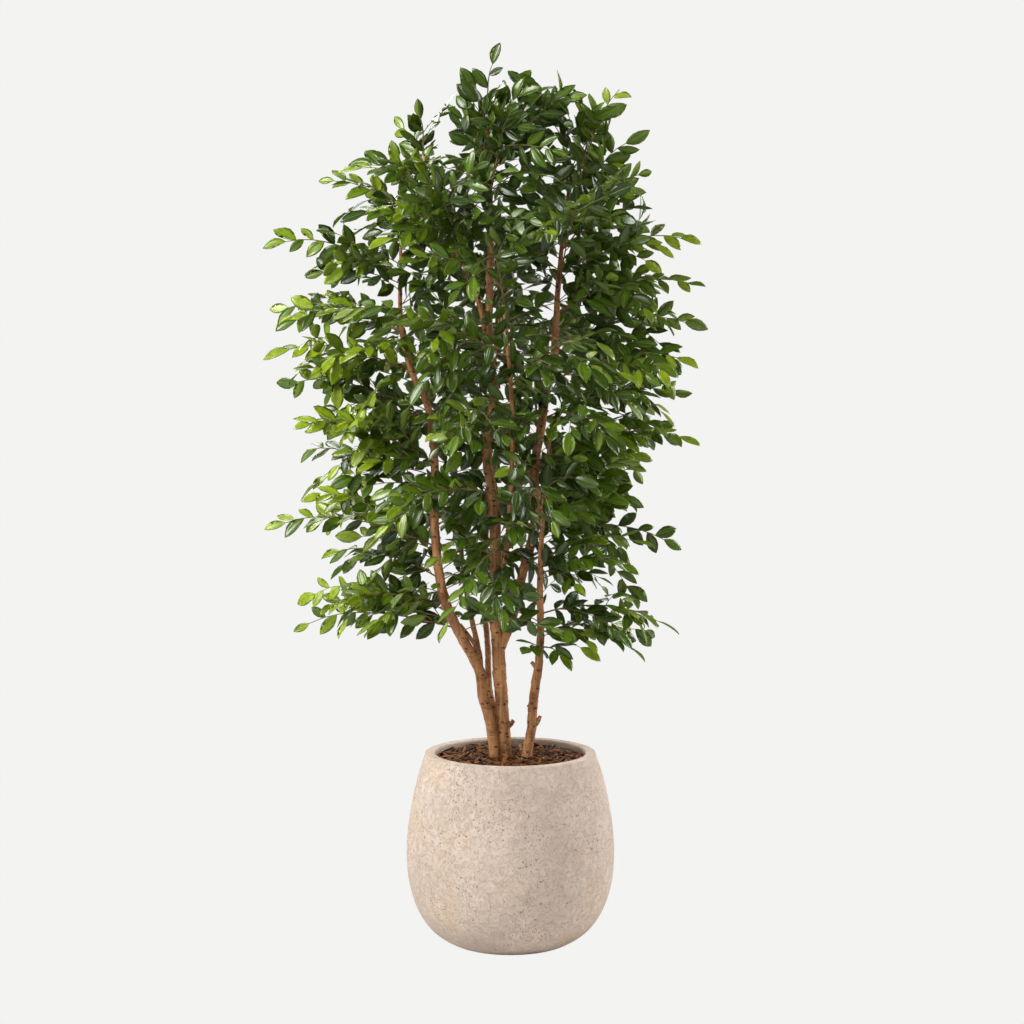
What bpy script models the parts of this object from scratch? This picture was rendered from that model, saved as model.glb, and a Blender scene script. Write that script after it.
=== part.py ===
"""Potted orange jasmine: a multi-stemmed indoor shrub in a cast stone pot.

The pot holds potting soil under a layer of bark mulch. A fused clump of woody stems and one separate
stem stand in plain holes in both. Leafy sprays are seated on the stems, each a twig with its leaves.
Units are metres, +Z is up, +X is to the right seen from the front, and the front faces -Y.
The origin is the centre of the pot's flat foot.
"""

import math
import random

import bmesh
import bpy
from mathutils import Matrix, Vector
from mathutils.bvhtree import BVHTree

SEED = 9
GAP = 0.0003
MERGE = 0.00005
UP = Vector((0, 0, 1))

# The pot: a barrel with its widest ring below the middle, a flat foot and a flat rim.
POT_STEPS = 32
POT_HEIGHT = 0.370
RIM_RADIUS = 0.164
RIM_WIDTH = 0.020
EDGE = 0.003
FLOOR_THICKNESS = 0.026
FOOT_RADIUS = 0.094
CORNER = 0.012
# Radius and height of the outer wall, from the rim down to the foot.
POT_WALL = (
    (0.171, 0.346),
    (0.186, 0.290),
    (0.196, 0.230),
    (0.200, 0.172),
    (0.195, 0.115),
    (0.180, 0.068),
    (0.153, 0.030),
    (0.120, 0.008),
)

# Soil and mulch, as depths under the rim.
MULCH_DEPTH = 0.014
MULCH_THICKNESS = 0.018
CHIP_RINGS = ((0.040, 5), (0.072, 10), (0.100, 14), (0.125, 17))
CHIP_LENGTH = (0.036, 0.048)
CHIP_WIDTH = (0.014, 0.018)
CHIP_HEIGHT = (0.007, 0.009)
CHIP_TAPER = 0.7
CHIP_SHIFT = 0.006
CHIP_LIFT = (-0.0005, 0.0015)
CHIP_TILT = 0.10
MULCH_INSET = 0.0015
MULCH_STEPS = 28
STEM_FOOT = 0.265
HOLE_DEPTH = 0.001

# Woody limbs: x, y, z and radius along each one. Those of the clump start inside the limb they grow from.
TRUNK = (
    (-0.008, 0.000, STEM_FOOT, 0.0125),
    (-0.010, 0.000, 0.350, 0.0130),
    (-0.016, 0.000, 0.455, 0.0125),
    (-0.022, 0.002, 0.540, 0.0128),
    (-0.026, 0.004, 0.600, 0.0120),
    (-0.035, 0.006, 0.655, 0.0112),
    (-0.029, 0.006, 0.725, 0.0112),
    (-0.032, 0.002, 0.850, 0.0104),
    (-0.045, 0.000, 0.975, 0.0098),
    (-0.031, -0.005, 1.040, 0.0092),
    (-0.042, -0.004, 1.150, 0.0083),
    (-0.039, 0.000, 1.255, 0.0070),
    (-0.038, 0.004, 1.390, 0.0052),
    (-0.044, 0.002, 1.600, 0.0030),
)
LEFT_LIMB = (
    (-0.026, -0.010, STEM_FOOT, 0.0105),
    (-0.030, -0.010, 0.355, 0.0108),
    (-0.038, -0.010, 0.427, 0.0103),
    (-0.053, -0.012, 0.483, 0.0100),
    (-0.058, -0.013, 0.525, 0.0098),
    (-0.070, -0.018, 0.552, 0.0098),
    (-0.100, -0.028, 0.609, 0.0096),
    (-0.119, -0.034, 0.650, 0.0095),
    (-0.133, -0.040, 0.707, 0.0090),
    (-0.142, -0.040, 0.800, 0.0082),
    (-0.146, -0.032, 0.970, 0.0070),
    (-0.160, -0.030, 1.046, 0.0065),
    (-0.180, -0.030, 1.084, 0.0060),
    (-0.200, -0.028, 1.150, 0.0050),
    (-0.206, -0.024, 1.330, 0.0030),
)
TWIN_LIMB = (
    (-0.058, -0.012, 0.525, 0.0058),
    (-0.066, -0.010, 0.572, 0.0040),
    (-0.096, -0.022, 0.618, 0.0036),
)
SLIM_LIMB = (
    (-0.057, -0.010, 0.520, 0.0066),
    (-0.059, -0.004, 0.550, 0.0060),
    (-0.066, 0.006, 0.587, 0.0054),
    (-0.079, 0.022, 0.643, 0.0050),
    (-0.100, 0.085, 0.800, 0.0040),
    (-0.112, 0.120, 1.000, 0.0030),
)
BACK_LIMB = (
    (-0.022, 0.002, 0.420, 0.0068),
    (-0.039, 0.018, 0.479, 0.0061),
    (-0.044, 0.040, 0.570, 0.0056),
    (-0.051, 0.066, 0.650, 0.0054),
    (-0.044, 0.110, 0.840, 0.0050),
    (-0.034, 0.142, 1.060, 0.0042),
    (-0.020, 0.152, 1.310, 0.0030),
)
RIGHT_LIMB = (
    (-0.022, 0.002, 0.560, 0.0088),
    (0.005, -0.002, 0.632, 0.0086),
    (0.018, 0.002, 0.691, 0.0085),
    (0.048, 0.012, 0.821, 0.0096),
    (0.045, 0.014, 0.894, 0.0088),
    (0.062, 0.018, 1.014, 0.0084),
    (0.069, 0.020, 1.069, 0.0086),
    (0.084, 0.022, 1.127, 0.0092),
    (0.086, 0.022, 1.175, 0.0070),
    (0.092, 0.020, 1.276, 0.0050),
    (0.110, 0.016, 1.440, 0.0030),
)
FRONT_LIMB = (
    (-0.031, 0.004, 0.665, 0.0060),
    (-0.012, -0.032, 0.735, 0.0052),
    (0.000, -0.072, 0.855, 0.0048),
    (0.004, -0.100, 1.000, 0.0042),
    (-0.012, -0.124, 1.220, 0.0030),
)
UPPER_LIMB = (
    (-0.041, -0.004, 1.130, 0.0056),
    (-0.057, -0.008, 1.220, 0.0050),
    (-0.095, -0.012, 1.310, 0.0044),
    (-0.150, -0.010, 1.430, 0.0034),
    (-0.162, -0.010, 1.500, 0.0028),
)
TRUNK_STUB = (
    (-0.014, -0.002, 0.414, 0.0058),
    (-0.001, -0.004, 0.422, 0.0050),
    (0.006, -0.005, 0.431, 0.0036),
)
RIGHT_STEM = (
    (0.024, 0.000, STEM_FOOT, 0.0095),
    (0.029, -0.002, 0.350, 0.0100),
    (0.041, -0.006, 0.421, 0.0092),
    (0.043, -0.008, 0.460, 0.0090),
    (0.054, -0.016, 0.540, 0.0080),
    (0.057, -0.020, 0.586, 0.0074),
    (0.056, -0.040, 0.686, 0.0060),
    (0.060, -0.085, 0.820, 0.0042),
    (0.074, -0.115, 0.990, 0.0030),
)
STEM_STUBS = (
    ((0.042, -0.007, 0.418, 0.0056), (0.052, -0.007, 0.429, 0.0046), (0.057, -0.007, 0.440, 0.0032)),
    ((0.053, -0.014, 0.530, 0.0048), (0.045, -0.014, 0.539, 0.0042), (0.040, -0.014, 0.545, 0.0030)),
    ((0.044, -0.008, 0.452, 0.0060), (0.034, -0.010, 0.462, 0.0038)),
)
CLUMP = {
    "trunk": TRUNK,
    "left_limb": LEFT_LIMB,
    "twin_limb": TWIN_LIMB,
    "slim_limb": SLIM_LIMB,
    "back_limb": BACK_LIMB,
    "right_limb": RIGHT_LIMB,
    "front_limb": FRONT_LIMB,
    "upper_limb": UPPER_LIMB,
    "trunk_stub": TRUNK_STUB,
}
THIN_LIMB = 0.0078

# Leafy sprays: the limb each one sits on, the height of its seat there, and where its last leaf ends.
SPRAYS = {
    "spray_top_1": ("trunk", 1.600, (-0.016, 0.000, 1.712)),
    "spray_top_2": ("trunk", 1.500, (-0.085, -0.035, 1.655)),
    "spray_top_3": ("trunk", 1.470, (0.042, 0.050, 1.663)),
    "spray_top_4": ("right_limb", 1.440, (0.084, -0.030, 1.655)),
    "spray_left_1": ("upper_limb", 1.500, (-0.179, -0.020, 1.611)),
    "spray_left_2": ("upper_limb", 1.420, (-0.228, 0.070, 1.581)),
    "spray_left_3": ("upper_limb", 1.370, (-0.264, -0.090, 1.499)),
    "spray_left_4": ("upper_limb", 1.320, (-0.376, 0.030, 1.458)),
    "spray_left_5": ("left_limb", 1.280, (-0.460, -0.050, 1.329)),
    "spray_left_6": ("left_limb", 1.170, (-0.464, 0.060, 1.207)),
    "spray_left_7": ("left_limb", 1.100, (-0.450, -0.080, 1.125)),
    "spray_left_8": ("left_limb", 1.010, (-0.447, 0.060, 1.067)),
    "spray_left_9": ("left_limb", 0.930, (-0.409, -0.120, 0.993)),
    "spray_left_10": ("left_limb", 0.870, (-0.431, 0.050, 0.938)),
    "spray_left_11": ("left_limb", 0.770, (-0.464, -0.040, 0.799)),
    "spray_left_12": ("left_limb", 0.710, (-0.365, 0.090, 0.735)),
    "spray_left_13": ("left_limb", 0.660, (-0.343, -0.130, 0.650)),
    "spray_left_14": ("left_limb", 0.615, (-0.422, 0.000, 0.599)),
    "spray_right_1": ("right_limb", 1.410, (0.234, -0.030, 1.652)),
    "spray_right_2": ("right_limb", 1.370, (0.257, 0.070, 1.549)),
    "spray_right_3": ("right_limb", 1.330, (0.269, -0.110, 1.464)),
    "spray_right_4": ("right_limb", 1.290, (0.364, 0.030, 1.340)),
    "spray_right_5": ("right_limb", 1.210, (0.368, -0.070, 1.250)),
    "spray_right_6": ("right_limb", 1.150, (0.374, 0.060, 1.178)),
    "spray_right_7": ("right_limb", 1.080, (0.346, -0.090, 1.110)),
    "spray_right_8": ("right_limb", 1.010, (0.350, 0.060, 1.045)),
    "spray_right_9": ("right_limb", 0.930, (0.357, -0.040, 0.961)),
    "spray_right_10": ("right_limb", 0.850, (0.296, 0.110, 0.890)),
    "spray_right_11": ("right_limb", 0.790, (0.331, 0.030, 0.755)),
    "spray_right_12": ("right_stem", 0.720, (0.245, -0.120, 0.724)),
    "spray_right_13": ("right_stem", 0.640, (0.320, 0.020, 0.597)),
    "spray_right_14": ("right_stem", 0.605, (0.258, -0.060, 0.555)),
    "spray_right_15": ("right_stem", 0.575, (0.110, -0.110, 0.540)),
    "spray_front_1": ("trunk", 1.430, (0.010, -0.200, 1.570)),
    "spray_front_2": ("upper_limb", 1.270, (-0.160, -0.270, 1.440)),
    "spray_front_3": ("right_limb", 1.250, (0.130, -0.290, 1.400)),
    "spray_front_4": ("front_limb", 1.220, (-0.040, -0.360, 1.300)),
    "spray_front_5": ("front_limb", 1.120, (-0.220, -0.290, 1.180)),
    "spray_front_6": ("front_limb", 1.070, (0.150, -0.340, 1.140)),
    "spray_front_7": ("front_limb", 0.980, (-0.110, -0.370, 1.010)),
    "spray_front_8": ("right_stem", 0.990, (0.190, -0.300, 0.980)),
    "spray_front_9": ("front_limb", 0.860, (-0.220, -0.300, 0.840)),
    "spray_front_10": ("right_stem", 0.860, (0.050, -0.370, 0.860)),
    "spray_front_11": ("front_limb", 0.760, (-0.080, -0.300, 0.700)),
    "spray_back_1": ("trunk", 1.400, (-0.030, 0.210, 1.570)),
    "spray_back_2": ("upper_limb", 1.230, (-0.170, 0.270, 1.440)),
    "spray_back_3": ("back_limb", 1.310, (0.120, 0.290, 1.420)),
    "spray_back_4": ("back_limb", 1.220, (-0.060, 0.360, 1.290)),
    "spray_back_5": ("back_limb", 1.130, (0.160, 0.330, 1.170)),
    "spray_back_6": ("back_limb", 1.040, (-0.200, 0.300, 1.120)),
    "spray_back_7": ("back_limb", 0.950, (0.030, 0.370, 0.990)),
    "spray_back_8": ("slim_limb", 1.000, (-0.240, 0.280, 0.930)),
    "spray_back_9": ("back_limb", 0.820, (0.190, 0.300, 0.820)),
    "spray_back_10": ("slim_limb", 0.820, (-0.120, 0.340, 0.760)),
}
TWIG_POINTS = 7
TWIG_RADIUS = 0.0016
TWIG_TIP_RADIUS = 0.0010
LEAVE_LIFT = 0.6
LEAVE_OUT = 0.5
ARRIVE_DROOP = 0.45
LAST_LEAF = 0.9
ROOT_SHARE = 0.05
SIDE_START = 0.34
SIDE_ROOM = 0.045
SIDE_LENGTH = 0.55
SHORTEST_SIDE = 0.070
SIDE_LIFT = 0.40
SIDE_RISE = 0.2
SIDE_DROOP = 0.6
SIDE_RADIUS = 0.00128
SIDE_TURNS = (48, -48, 62, -62, 34, -34)

# Leaves: ovate, folded a little at the rib and drooping at the tip. The outline gives each point's share of
# the leaf's length from its root, and its share of the width from the rib.
LEAF_LENGTH = 0.057
LEAF_WIDTH = 0.029
LEAF_OUTLINE = ((0.25, -0.42), (0.62, -0.44), (1.0, 0.0), (0.62, 0.44), (0.25, 0.42))
LEAF_POLE = 0.42
LEAF_THICKNESS = 0.0020
LEAF_SIZES = (0.86, 1.08)
LEAF_FOLD = 0.22
LEAF_SAG = 0.008
LEAF_DROOP = (0.05, 0.55)
LEAF_ROLL = 30
LEAF_SPREAD = (54, 70)
NECK = 0.0040
STRAY = 0.0022
MAIN_SPACING = 0.046
SIDE_SPACING = 0.052
FIRST_LEAF = 0.14
FIRST_SIDE_LEAF = 0.22
END_ROOM = 0.018
CLEARANCE = 0.0012
# Turn from the twig and twist about the rib, in degrees, and lowering of the tip, tried in this order.
LEAF_TRIES = (
    (0, 0, 0),
    (12, 0.2, 15),
    (6, 0.3, -15),
    (20, -0.4, 0),
    (0, 0.5, 20),
    (25, 0.4, -20),
    (10, -0.6, 10),
    (35, 0.6, 20),
)
SQUARE = ((1, 1), (-1, 1), (-1, -1), (1, -1))
BLADE_FACES = [(i, (i + 1) % 6, pole) for i in range(6) for pole in (6, 7)]
OUTER_FACES = [(i, (i + 1) % 5, pole) for i in range(5) for pole in (5, 6)]

COLOURS = {
    "cast_stone": ((0.60, 0.49, 0.39), 0.85),
    "soil": ((0.045, 0.030, 0.020), 0.95),
    "mulch": ((0.11, 0.055, 0.030), 0.85),
    "bark": ((0.33, 0.16, 0.075), 0.70),
    "leaf": ((0.070, 0.150, 0.025), 0.35),
}


def clear_scene():
    for obj in list(bpy.data.objects):
        bpy.data.objects.remove(obj, do_unlink=True)


def new_collection(name):
    collection = bpy.data.collections.new(name)
    bpy.context.scene.collection.children.link(collection)
    return collection


def new_material(name, colour, roughness):
    material = bpy.data.materials.new(name)
    material.use_nodes = True
    shader = material.node_tree.nodes["Principled BSDF"]
    shader.inputs["Base Color"].default_value = (*colour, 1)
    shader.inputs["Roughness"].default_value = roughness
    shader.inputs["Metallic"].default_value = 0
    return material


def new_object(name, data, collection):
    obj = bpy.data.objects.new(name, data)
    collection.objects.link(obj)
    return obj


def evaluated_mesh(obj):
    graph = bpy.context.evaluated_depsgraph_get()
    return bpy.data.meshes.new_from_object(obj.evaluated_get(graph), depsgraph=graph)


def is_one_body(mesh):
    """Is each edge shared by two faces, and every vertex reached from the first?"""
    edit = bmesh.new()
    edit.from_mesh(mesh)
    closed = len(edit.verts) > 0 and all(len(edge.link_faces) == 2 for edge in edit.edges)
    edit.verts.ensure_lookup_table()
    ahead = [edit.verts[0]] if closed else []
    reached = set(ahead)
    while ahead:
        vertex = ahead.pop()
        fresh = {edge.other_vert(vertex) for edge in vertex.link_edges} - reached
        reached |= fresh
        ahead.extend(fresh)
    whole = len(reached) == len(edit.verts)
    edit.free()
    return closed and whole


def boolean(obj, others, operation):
    """Joins the others to obj, or cuts them from it, and removes them."""
    operands = new_collection(obj.name + "_" + operation.lower())
    for other in others:
        for home in list(other.users_collection):
            home.objects.unlink(other)
        operands.objects.link(other)
    modifier = obj.modifiers.new(operation.title(), "BOOLEAN")
    modifier.operation = operation
    modifier.operand_type = "COLLECTION"
    modifier.collection = operands
    for solver in ("EXACT", "MANIFOLD"):
        modifier.solver = solver
        joined = evaluated_mesh(obj)
        if is_one_body(joined):
            break
    obj.modifiers.remove(modifier)
    obj.data = joined
    for other in others:
        bpy.data.objects.remove(other, do_unlink=True)
    bpy.data.collections.remove(operands)


def turned(name, outline, steps, collection):
    """A solid of revolution: the outline, in radius and height, runs up the inside and down the outside."""
    mesh = bpy.data.meshes.new(name)
    points = [(radius, 0, height) for radius, height in outline]
    mesh.from_pydata(points, [(i, i + 1) for i in range(len(points) - 1)], [])
    obj = new_object(name, mesh, collection)
    screw = obj.modifiers.new("Turn", "SCREW")
    screw.axis = "Z"
    screw.steps = steps
    screw.render_steps = steps
    screw.use_merge_vertices = True
    screw.merge_threshold = MERGE
    screw.use_smooth_shade = True
    obj.data = evaluated_mesh(obj)
    obj.modifiers.clear()
    obj.data.set_sharp_from_angle(angle=math.radians(35))
    return obj


def pot_wall(height, inset):
    """Radius at a height of the pot's outer wall, less an inset."""
    wall = ((RIM_RADIUS, POT_HEIGHT), *POT_WALL, (FOOT_RADIUS, 0))
    for (r_high, z_high), (r_low, z_low) in zip(wall, wall[1:]):
        if height >= z_low:
            share = (height - z_low) / (z_high - z_low)
            return r_low + share * (r_high - r_low) - inset
    return FOOT_RADIUS - inset


def inner_outline(inset, top, every=1):
    """Radius and height down the inside of the pot, from a top height to the floor, less an inset."""
    levels = [z for _, z in POT_WALL if FLOOR_THICKNESS + CORNER < z < top - CORNER]
    heights = [top, *levels[::every]]
    floor = FLOOR_THICKNESS + inset
    side = [(pot_wall(z, RIM_WIDTH + inset), z) for z in heights]
    return side + [(pot_wall(floor, RIM_WIDTH + inset) - CORNER, floor)]


def make_pot(collection):
    inside = inner_outline(0, POT_HEIGHT - EDGE)
    inner_rim = RIM_RADIUS - RIM_WIDTH
    outline = [(0, FLOOR_THICKNESS), *reversed(inside)]
    outline += [(inner_rim + EDGE, POT_HEIGHT), (RIM_RADIUS - EDGE, POT_HEIGHT)]
    outline += [(RIM_RADIUS + 0.001, POT_HEIGHT - EDGE), *POT_WALL, (FOOT_RADIUS, 0), (0, 0)]
    return turned("pot", outline, POT_STEPS, collection)


def make_soil(collection):
    top = POT_HEIGHT - MULCH_DEPTH - MULCH_THICKNESS - GAP
    outline = [(0, top), *inner_outline(GAP / math.cos(math.pi / POT_STEPS), top, 2)]
    outline.append((0, outline[-1][1]))
    return turned("potting_soil", outline, POT_STEPS, collection)


def make_chip(place, turn, tilt, size, collection):
    bpy.ops.mesh.primitive_cube_add(size=1)
    chip = bpy.context.object
    chip.data.transform(Matrix.Diagonal((*size, 1)))
    for vertex in chip.data.vertices:
        if vertex.co.x > 0:
            vertex.co.y *= CHIP_TAPER
    turned_to = Matrix.Rotation(turn, 4, "Z") @ Matrix.Rotation(tilt, 4, "Y")
    chip.data.transform(Matrix.Translation(place) @ turned_to)
    for home in list(chip.users_collection):
        home.objects.unlink(chip)
    collection.objects.link(chip)
    return chip


def make_mulch(collection, draw):
    """A disc under the rim with bark chips lying on it in rings, each at a drawn angle."""
    top = POT_HEIGHT - MULCH_DEPTH
    low = top - MULCH_THICKNESS
    inset = RIM_WIDTH + MULCH_INSET
    outline = [(0, top), (pot_wall(top, inset), top), (pot_wall(low, inset), low), (0, low)]
    mulch = turned("bark_mulch", outline, MULCH_STEPS, collection)
    chips = []
    for radius, count in CHIP_RINGS:
        for i in range(count):
            angle = math.tau * (i + draw.uniform(0, 0.5)) / count
            far = radius + draw.uniform(-CHIP_SHIFT, CHIP_SHIFT)
            size = [draw.uniform(*limits) for limits in (CHIP_LENGTH, CHIP_WIDTH, CHIP_HEIGHT)]
            turn = draw.uniform(0, math.tau)
            room = pot_wall(top, inset + GAP) - far
            if size[0] / 2 > room:
                turn = angle + math.pi / 2 + draw.uniform(-2 * CHIP_TILT, 2 * CHIP_TILT)
            place = (far * math.cos(angle), far * math.sin(angle), top + draw.uniform(*CHIP_LIFT))
            chips.append(make_chip(place, turn, draw.uniform(-CHIP_TILT, CHIP_TILT), size, collection))
    boolean(mulch, chips, "UNION")
    return mulch


def make_limb(name, points, swell, collection):
    """A round tube through points that hold a radius each, as a mesh."""
    thick = max(radius for *_, radius in points) > THIN_LIMB
    curve = bpy.data.curves.new(name, "CURVE")
    curve.dimensions = "3D"
    curve.bevel_depth = 0.001
    curve.bevel_resolution = 2 if thick else 1
    curve.use_fill_caps = True
    spline = curve.splines.new("POLY")
    spline.points.add(len(points) - 1)
    for point, (x, y, z, radius) in zip(spline.points, points):
        point.co = (x, y, z, 1)
        point.radius = (radius + swell) / curve.bevel_depth
    tube = new_object(name + "_curve", curve, collection)
    obj = new_object(name, evaluated_mesh(tube), collection)
    obj.matrix_world = tube.matrix_world
    bpy.data.objects.remove(tube, do_unlink=True)
    edit = bmesh.new()
    edit.from_mesh(obj.data)
    bmesh.ops.remove_doubles(edit, verts=edit.verts, dist=MERGE)
    bmesh.ops.recalc_face_normals(edit, faces=edit.faces)
    edit.to_mesh(obj.data)
    edit.free()
    return obj


def make_stems(collection):
    limbs = [make_limb(name, points, 0, collection) for name, points in CLUMP.items()]
    clump = limbs[0]
    boolean(clump, limbs[1:], "UNION")
    clump.name = "main_stems"
    stem = make_limb("right_stem", RIGHT_STEM, 0, collection)
    stubs = [make_limb("stub", points, 0, collection) for points in STEM_STUBS]
    boolean(stem, stubs, "UNION")
    return clump, stem


def drill(obj, collection):
    """Cuts the plain holes that the stems stand in."""
    feet = []
    for points in (TRUNK, LEFT_LIMB, RIGHT_STEM):
        (x, y, z, radius), *rest = points[:3]
        foot = [(x, y, z - HOLE_DEPTH, radius), *rest]
        feet.append(make_limb("foot", foot, GAP / math.cos(math.pi / 8), collection))
    boolean(obj, feet, "DIFFERENCE")


def tree_of(mesh):
    points = [v.co for v in mesh.vertices]
    return BVHTree.FromPolygons(points, [tuple(p.vertices) for p in mesh.polygons])


class Room:
    """The surfaces placed so far, each with its owner and its box, to find what a new one would cross."""

    def __init__(self):
        self.taken = []

    def measure(self, points, faces):
        low = [min(p[i] for p in points) for i in range(3)]
        high = [max(p[i] for p in points) for i in range(3)]
        return low, high, BVHTree.FromPolygons(points, faces)

    def add(self, points, faces, owner):
        self.taken.append((*self.measure(points, faces), owner))

    def crosses(self, points, faces, besides=(), only=None):
        """Does a surface cross one of those placed? Some owners may be left out, or one alone be tested."""
        low, high, tree = self.measure(points, faces)
        for their_low, their_high, theirs, owner in self.taken:
            if owner in besides or only not in (None, owner):
                continue
            apart = any(low[i] > their_high[i] or high[i] < their_low[i] for i in range(3))
            if not apart and tree.overlap(theirs):
                return True
        return False


def shape_of(mesh):
    return [v.co.copy() for v in mesh.vertices], [tuple(p.vertices) for p in mesh.polygons]


def limb_at(points, height):
    """The centre of a limb at a height, and its direction there."""
    for (x0, y0, z0, _), (x1, y1, z1, _) in zip(points, points[1:]):
        if height <= z1:
            break
    low, high = Vector((x0, y0, z0)), Vector((x1, y1, z1))
    return low.lerp(high, min(1, (height - z0) / (z1 - z0))), (high - low).normalized()


def find_seat(limb, height, tip, wood):
    """Where a spray meets its limb: a point on the bark and the bark's outward normal there."""
    centre, along = limb_at(limb, height)
    at_end = height >= limb[-1][2]
    away = Vector(tip) - centre
    away = along if at_end else (away - away.dot(along) * along).normalized()
    reach = 0.02 if at_end else 3 * limb[0][3]
    spot, normal, _, _ = wood.ray_cast(centre + reach * away, -away)
    return spot, normal


def arch(start, end, leave, arrive):
    """Points on a cubic Bezier curve, whose handles are a third of its span long."""
    handle = (end - start).length / 3
    a, b, c, d = start, start + handle * leave.normalized(), end - handle * arrive.normalized(), end

    def at(t):
        return (1 - t) ** 3 * a + 3 * t * (1 - t) ** 2 * b + 3 * t * t * (1 - t) * c + t**3 * d

    return [at(i / (TWIG_POINTS - 1)) for i in range(TWIG_POINTS)]


def length_of(line):
    return sum((b - a).length for a, b in zip(line, line[1:]))


def point_on(line, t):
    """The place a share t of the way along a line of points."""
    far = min(max(t, 0), 0.9999) * (len(line) - 1)
    return line[int(far)].lerp(line[int(far) + 1], far % 1)


class Frond:
    """A twig with leaves on both sides, made as one closed surface.

    The twig is a square rib along a line. A leaf grows out of the rib's side between two notches:
    its upper face starts at the rib's upper edge and its lower face at the lower edge, and they meet
    along the leaf's outline. Each face is a fan of triangles round a point on the leaf's own rib.
    """

    def __init__(self, line, radius, tip_radius):
        self.line = line
        self.length = length_of(line)
        self.radius = radius
        self.tip_radius = tip_radius
        self.across = (line[-1] - line[0]).cross(UP).normalized()
        self.leaves = []

    def frame(self, t):
        """Place, direction, the rib's right and its upper side, at a share t of the way along."""
        place = point_on(self.line, t)
        along = (point_on(self.line, t + 0.04) - point_on(self.line, t - 0.04)).normalized()
        right = (self.across - self.across.dot(along) * along).normalized()
        return place, along, right, right.cross(along)

    def notch(self, t, side):
        """The two corners of the rib on one side."""
        place, _, right, over = self.frame(t)
        thick = self.radius + t * (self.tip_radius - self.radius)
        edge = place + side * thick * right
        return edge + thick * over, edge - thick * over

    def rib_shape(self, swell):
        """The bare rib past its root as points and faces, swollen by an amount."""
        points = []
        faces = []
        thick = self.radius + swell
        for i in range(len(self.line)):
            place, _, right, over = self.frame(max(ROOT_SHARE, i / (len(self.line) - 1)))
            points += [place + thick * (u * right + v * over) for u, v in SQUARE]
            if i:
                edges = ((j, (j + 1) % 4) for j in range(4))
                faces += [(4 * i + a - 4, 4 * i + b - 4, 4 * i + b, 4 * i + a) for a, b in edges]
        return points, faces

    def blade(self, t, side, size, spread, droop, roll):
        """Outline and rib points of a leaf that leaves the rib at t, on a side of it or at its end."""
        place, along, right, over = self.frame(t)
        root = place + side * self.radius * right
        x = (math.cos(spread) * along + math.sin(spread) * side * right - droop * UP).normalized()
        z = (over - over.dot(x) * x).normalized()
        z = Matrix.Rotation(roll, 3, x) @ z
        y = z.cross(x)
        length, width = LEAF_LENGTH * size, LEAF_WIDTH * size

        def spot(far, off, lift):
            height = lift + LEAF_FOLD * abs(off) * width - LEAF_SAG * far**2
            return root + far * length * x + off * width * y + height * z

        outline = [spot(far, off, 0) for far, off in LEAF_OUTLINE]
        poles = [spot(LEAF_POLE, 0, lift) for lift in (LEAF_THICKNESS / 2, -LEAF_THICKNESS / 2)]
        return root, outline, poles

    def add_leaf(self, t, side, room, owner, draw):
        """Adds a leaf, turned until it is clear of all that is placed. One that never is gets left out."""
        size = draw.uniform(*LEAF_SIZES)
        spread = 0 if side == 0 else math.radians(draw.uniform(*LEAF_SPREAD))
        droop = draw.uniform(*LEAF_DROOP)
        roll = math.radians(draw.uniform(-LEAF_ROLL, LEAF_ROLL))
        for turn, tip_down, twist in LEAF_TRIES:
            angles = spread + math.radians(turn), droop + tip_down, roll + math.radians(twist)
            root, outline, poles = self.blade(t, side, size, *angles)
            points = [root + 2 * CLEARANCE * (outline[2] - root).normalized(), *outline, *poles]
            centre = sum(points, Vector()) / len(points)
            swollen = [p + CLEARANCE * (p - centre).normalized() for p in points[:6]]
            swollen += [p + CLEARANCE * (p - q).normalized() for p, q in (poles, poles[::-1])]
            clear = not room.crosses(swollen[1:], OUTER_FACES, only=owner)
            if clear and not room.crosses(swollen, BLADE_FACES, (owner,)):
                room.add(points, BLADE_FACES, owner + "_leaf")
                self.leaves.append((t, side, outline, poles))
                return

    def spans(self, side):
        """The rib's side as shares of the way along, each with the leaf whose neck starts there, if any."""
        chain = [(0.0, None)]
        for leaf in sorted(self.leaves, key=lambda leaf: leaf[0]):
            if leaf[1] == side:
                half = NECK / 2 / self.length
                self.straighten(chain, leaf[0] - half, side)
                chain += [(leaf[0] - half, leaf), (leaf[0] + half, None)]
        self.straighten(chain, 1.0, side)
        return [*chain, (1.0, None)]

    def straighten(self, chain, end, side):
        """Adds points to a chain where a straight run to an end would leave the twig."""
        start = chain[-1][0]
        pieces = 1
        while pieces < TWIG_POINTS:
            shares = [start + (end - start) * i / pieces for i in range(pieces + 1)]
            corners = [self.notch(t, side)[0] for t in shares]
            middles = [self.notch((a + b) / 2, side)[0] for a, b in zip(shares, shares[1:])]
            if all(((a + b) / 2 - m).length < STRAY for a, b, m in zip(corners, corners[1:], middles)):
                break
            pieces += 1
        chain += [(t, None) for t in shares[1:-1]]

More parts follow.
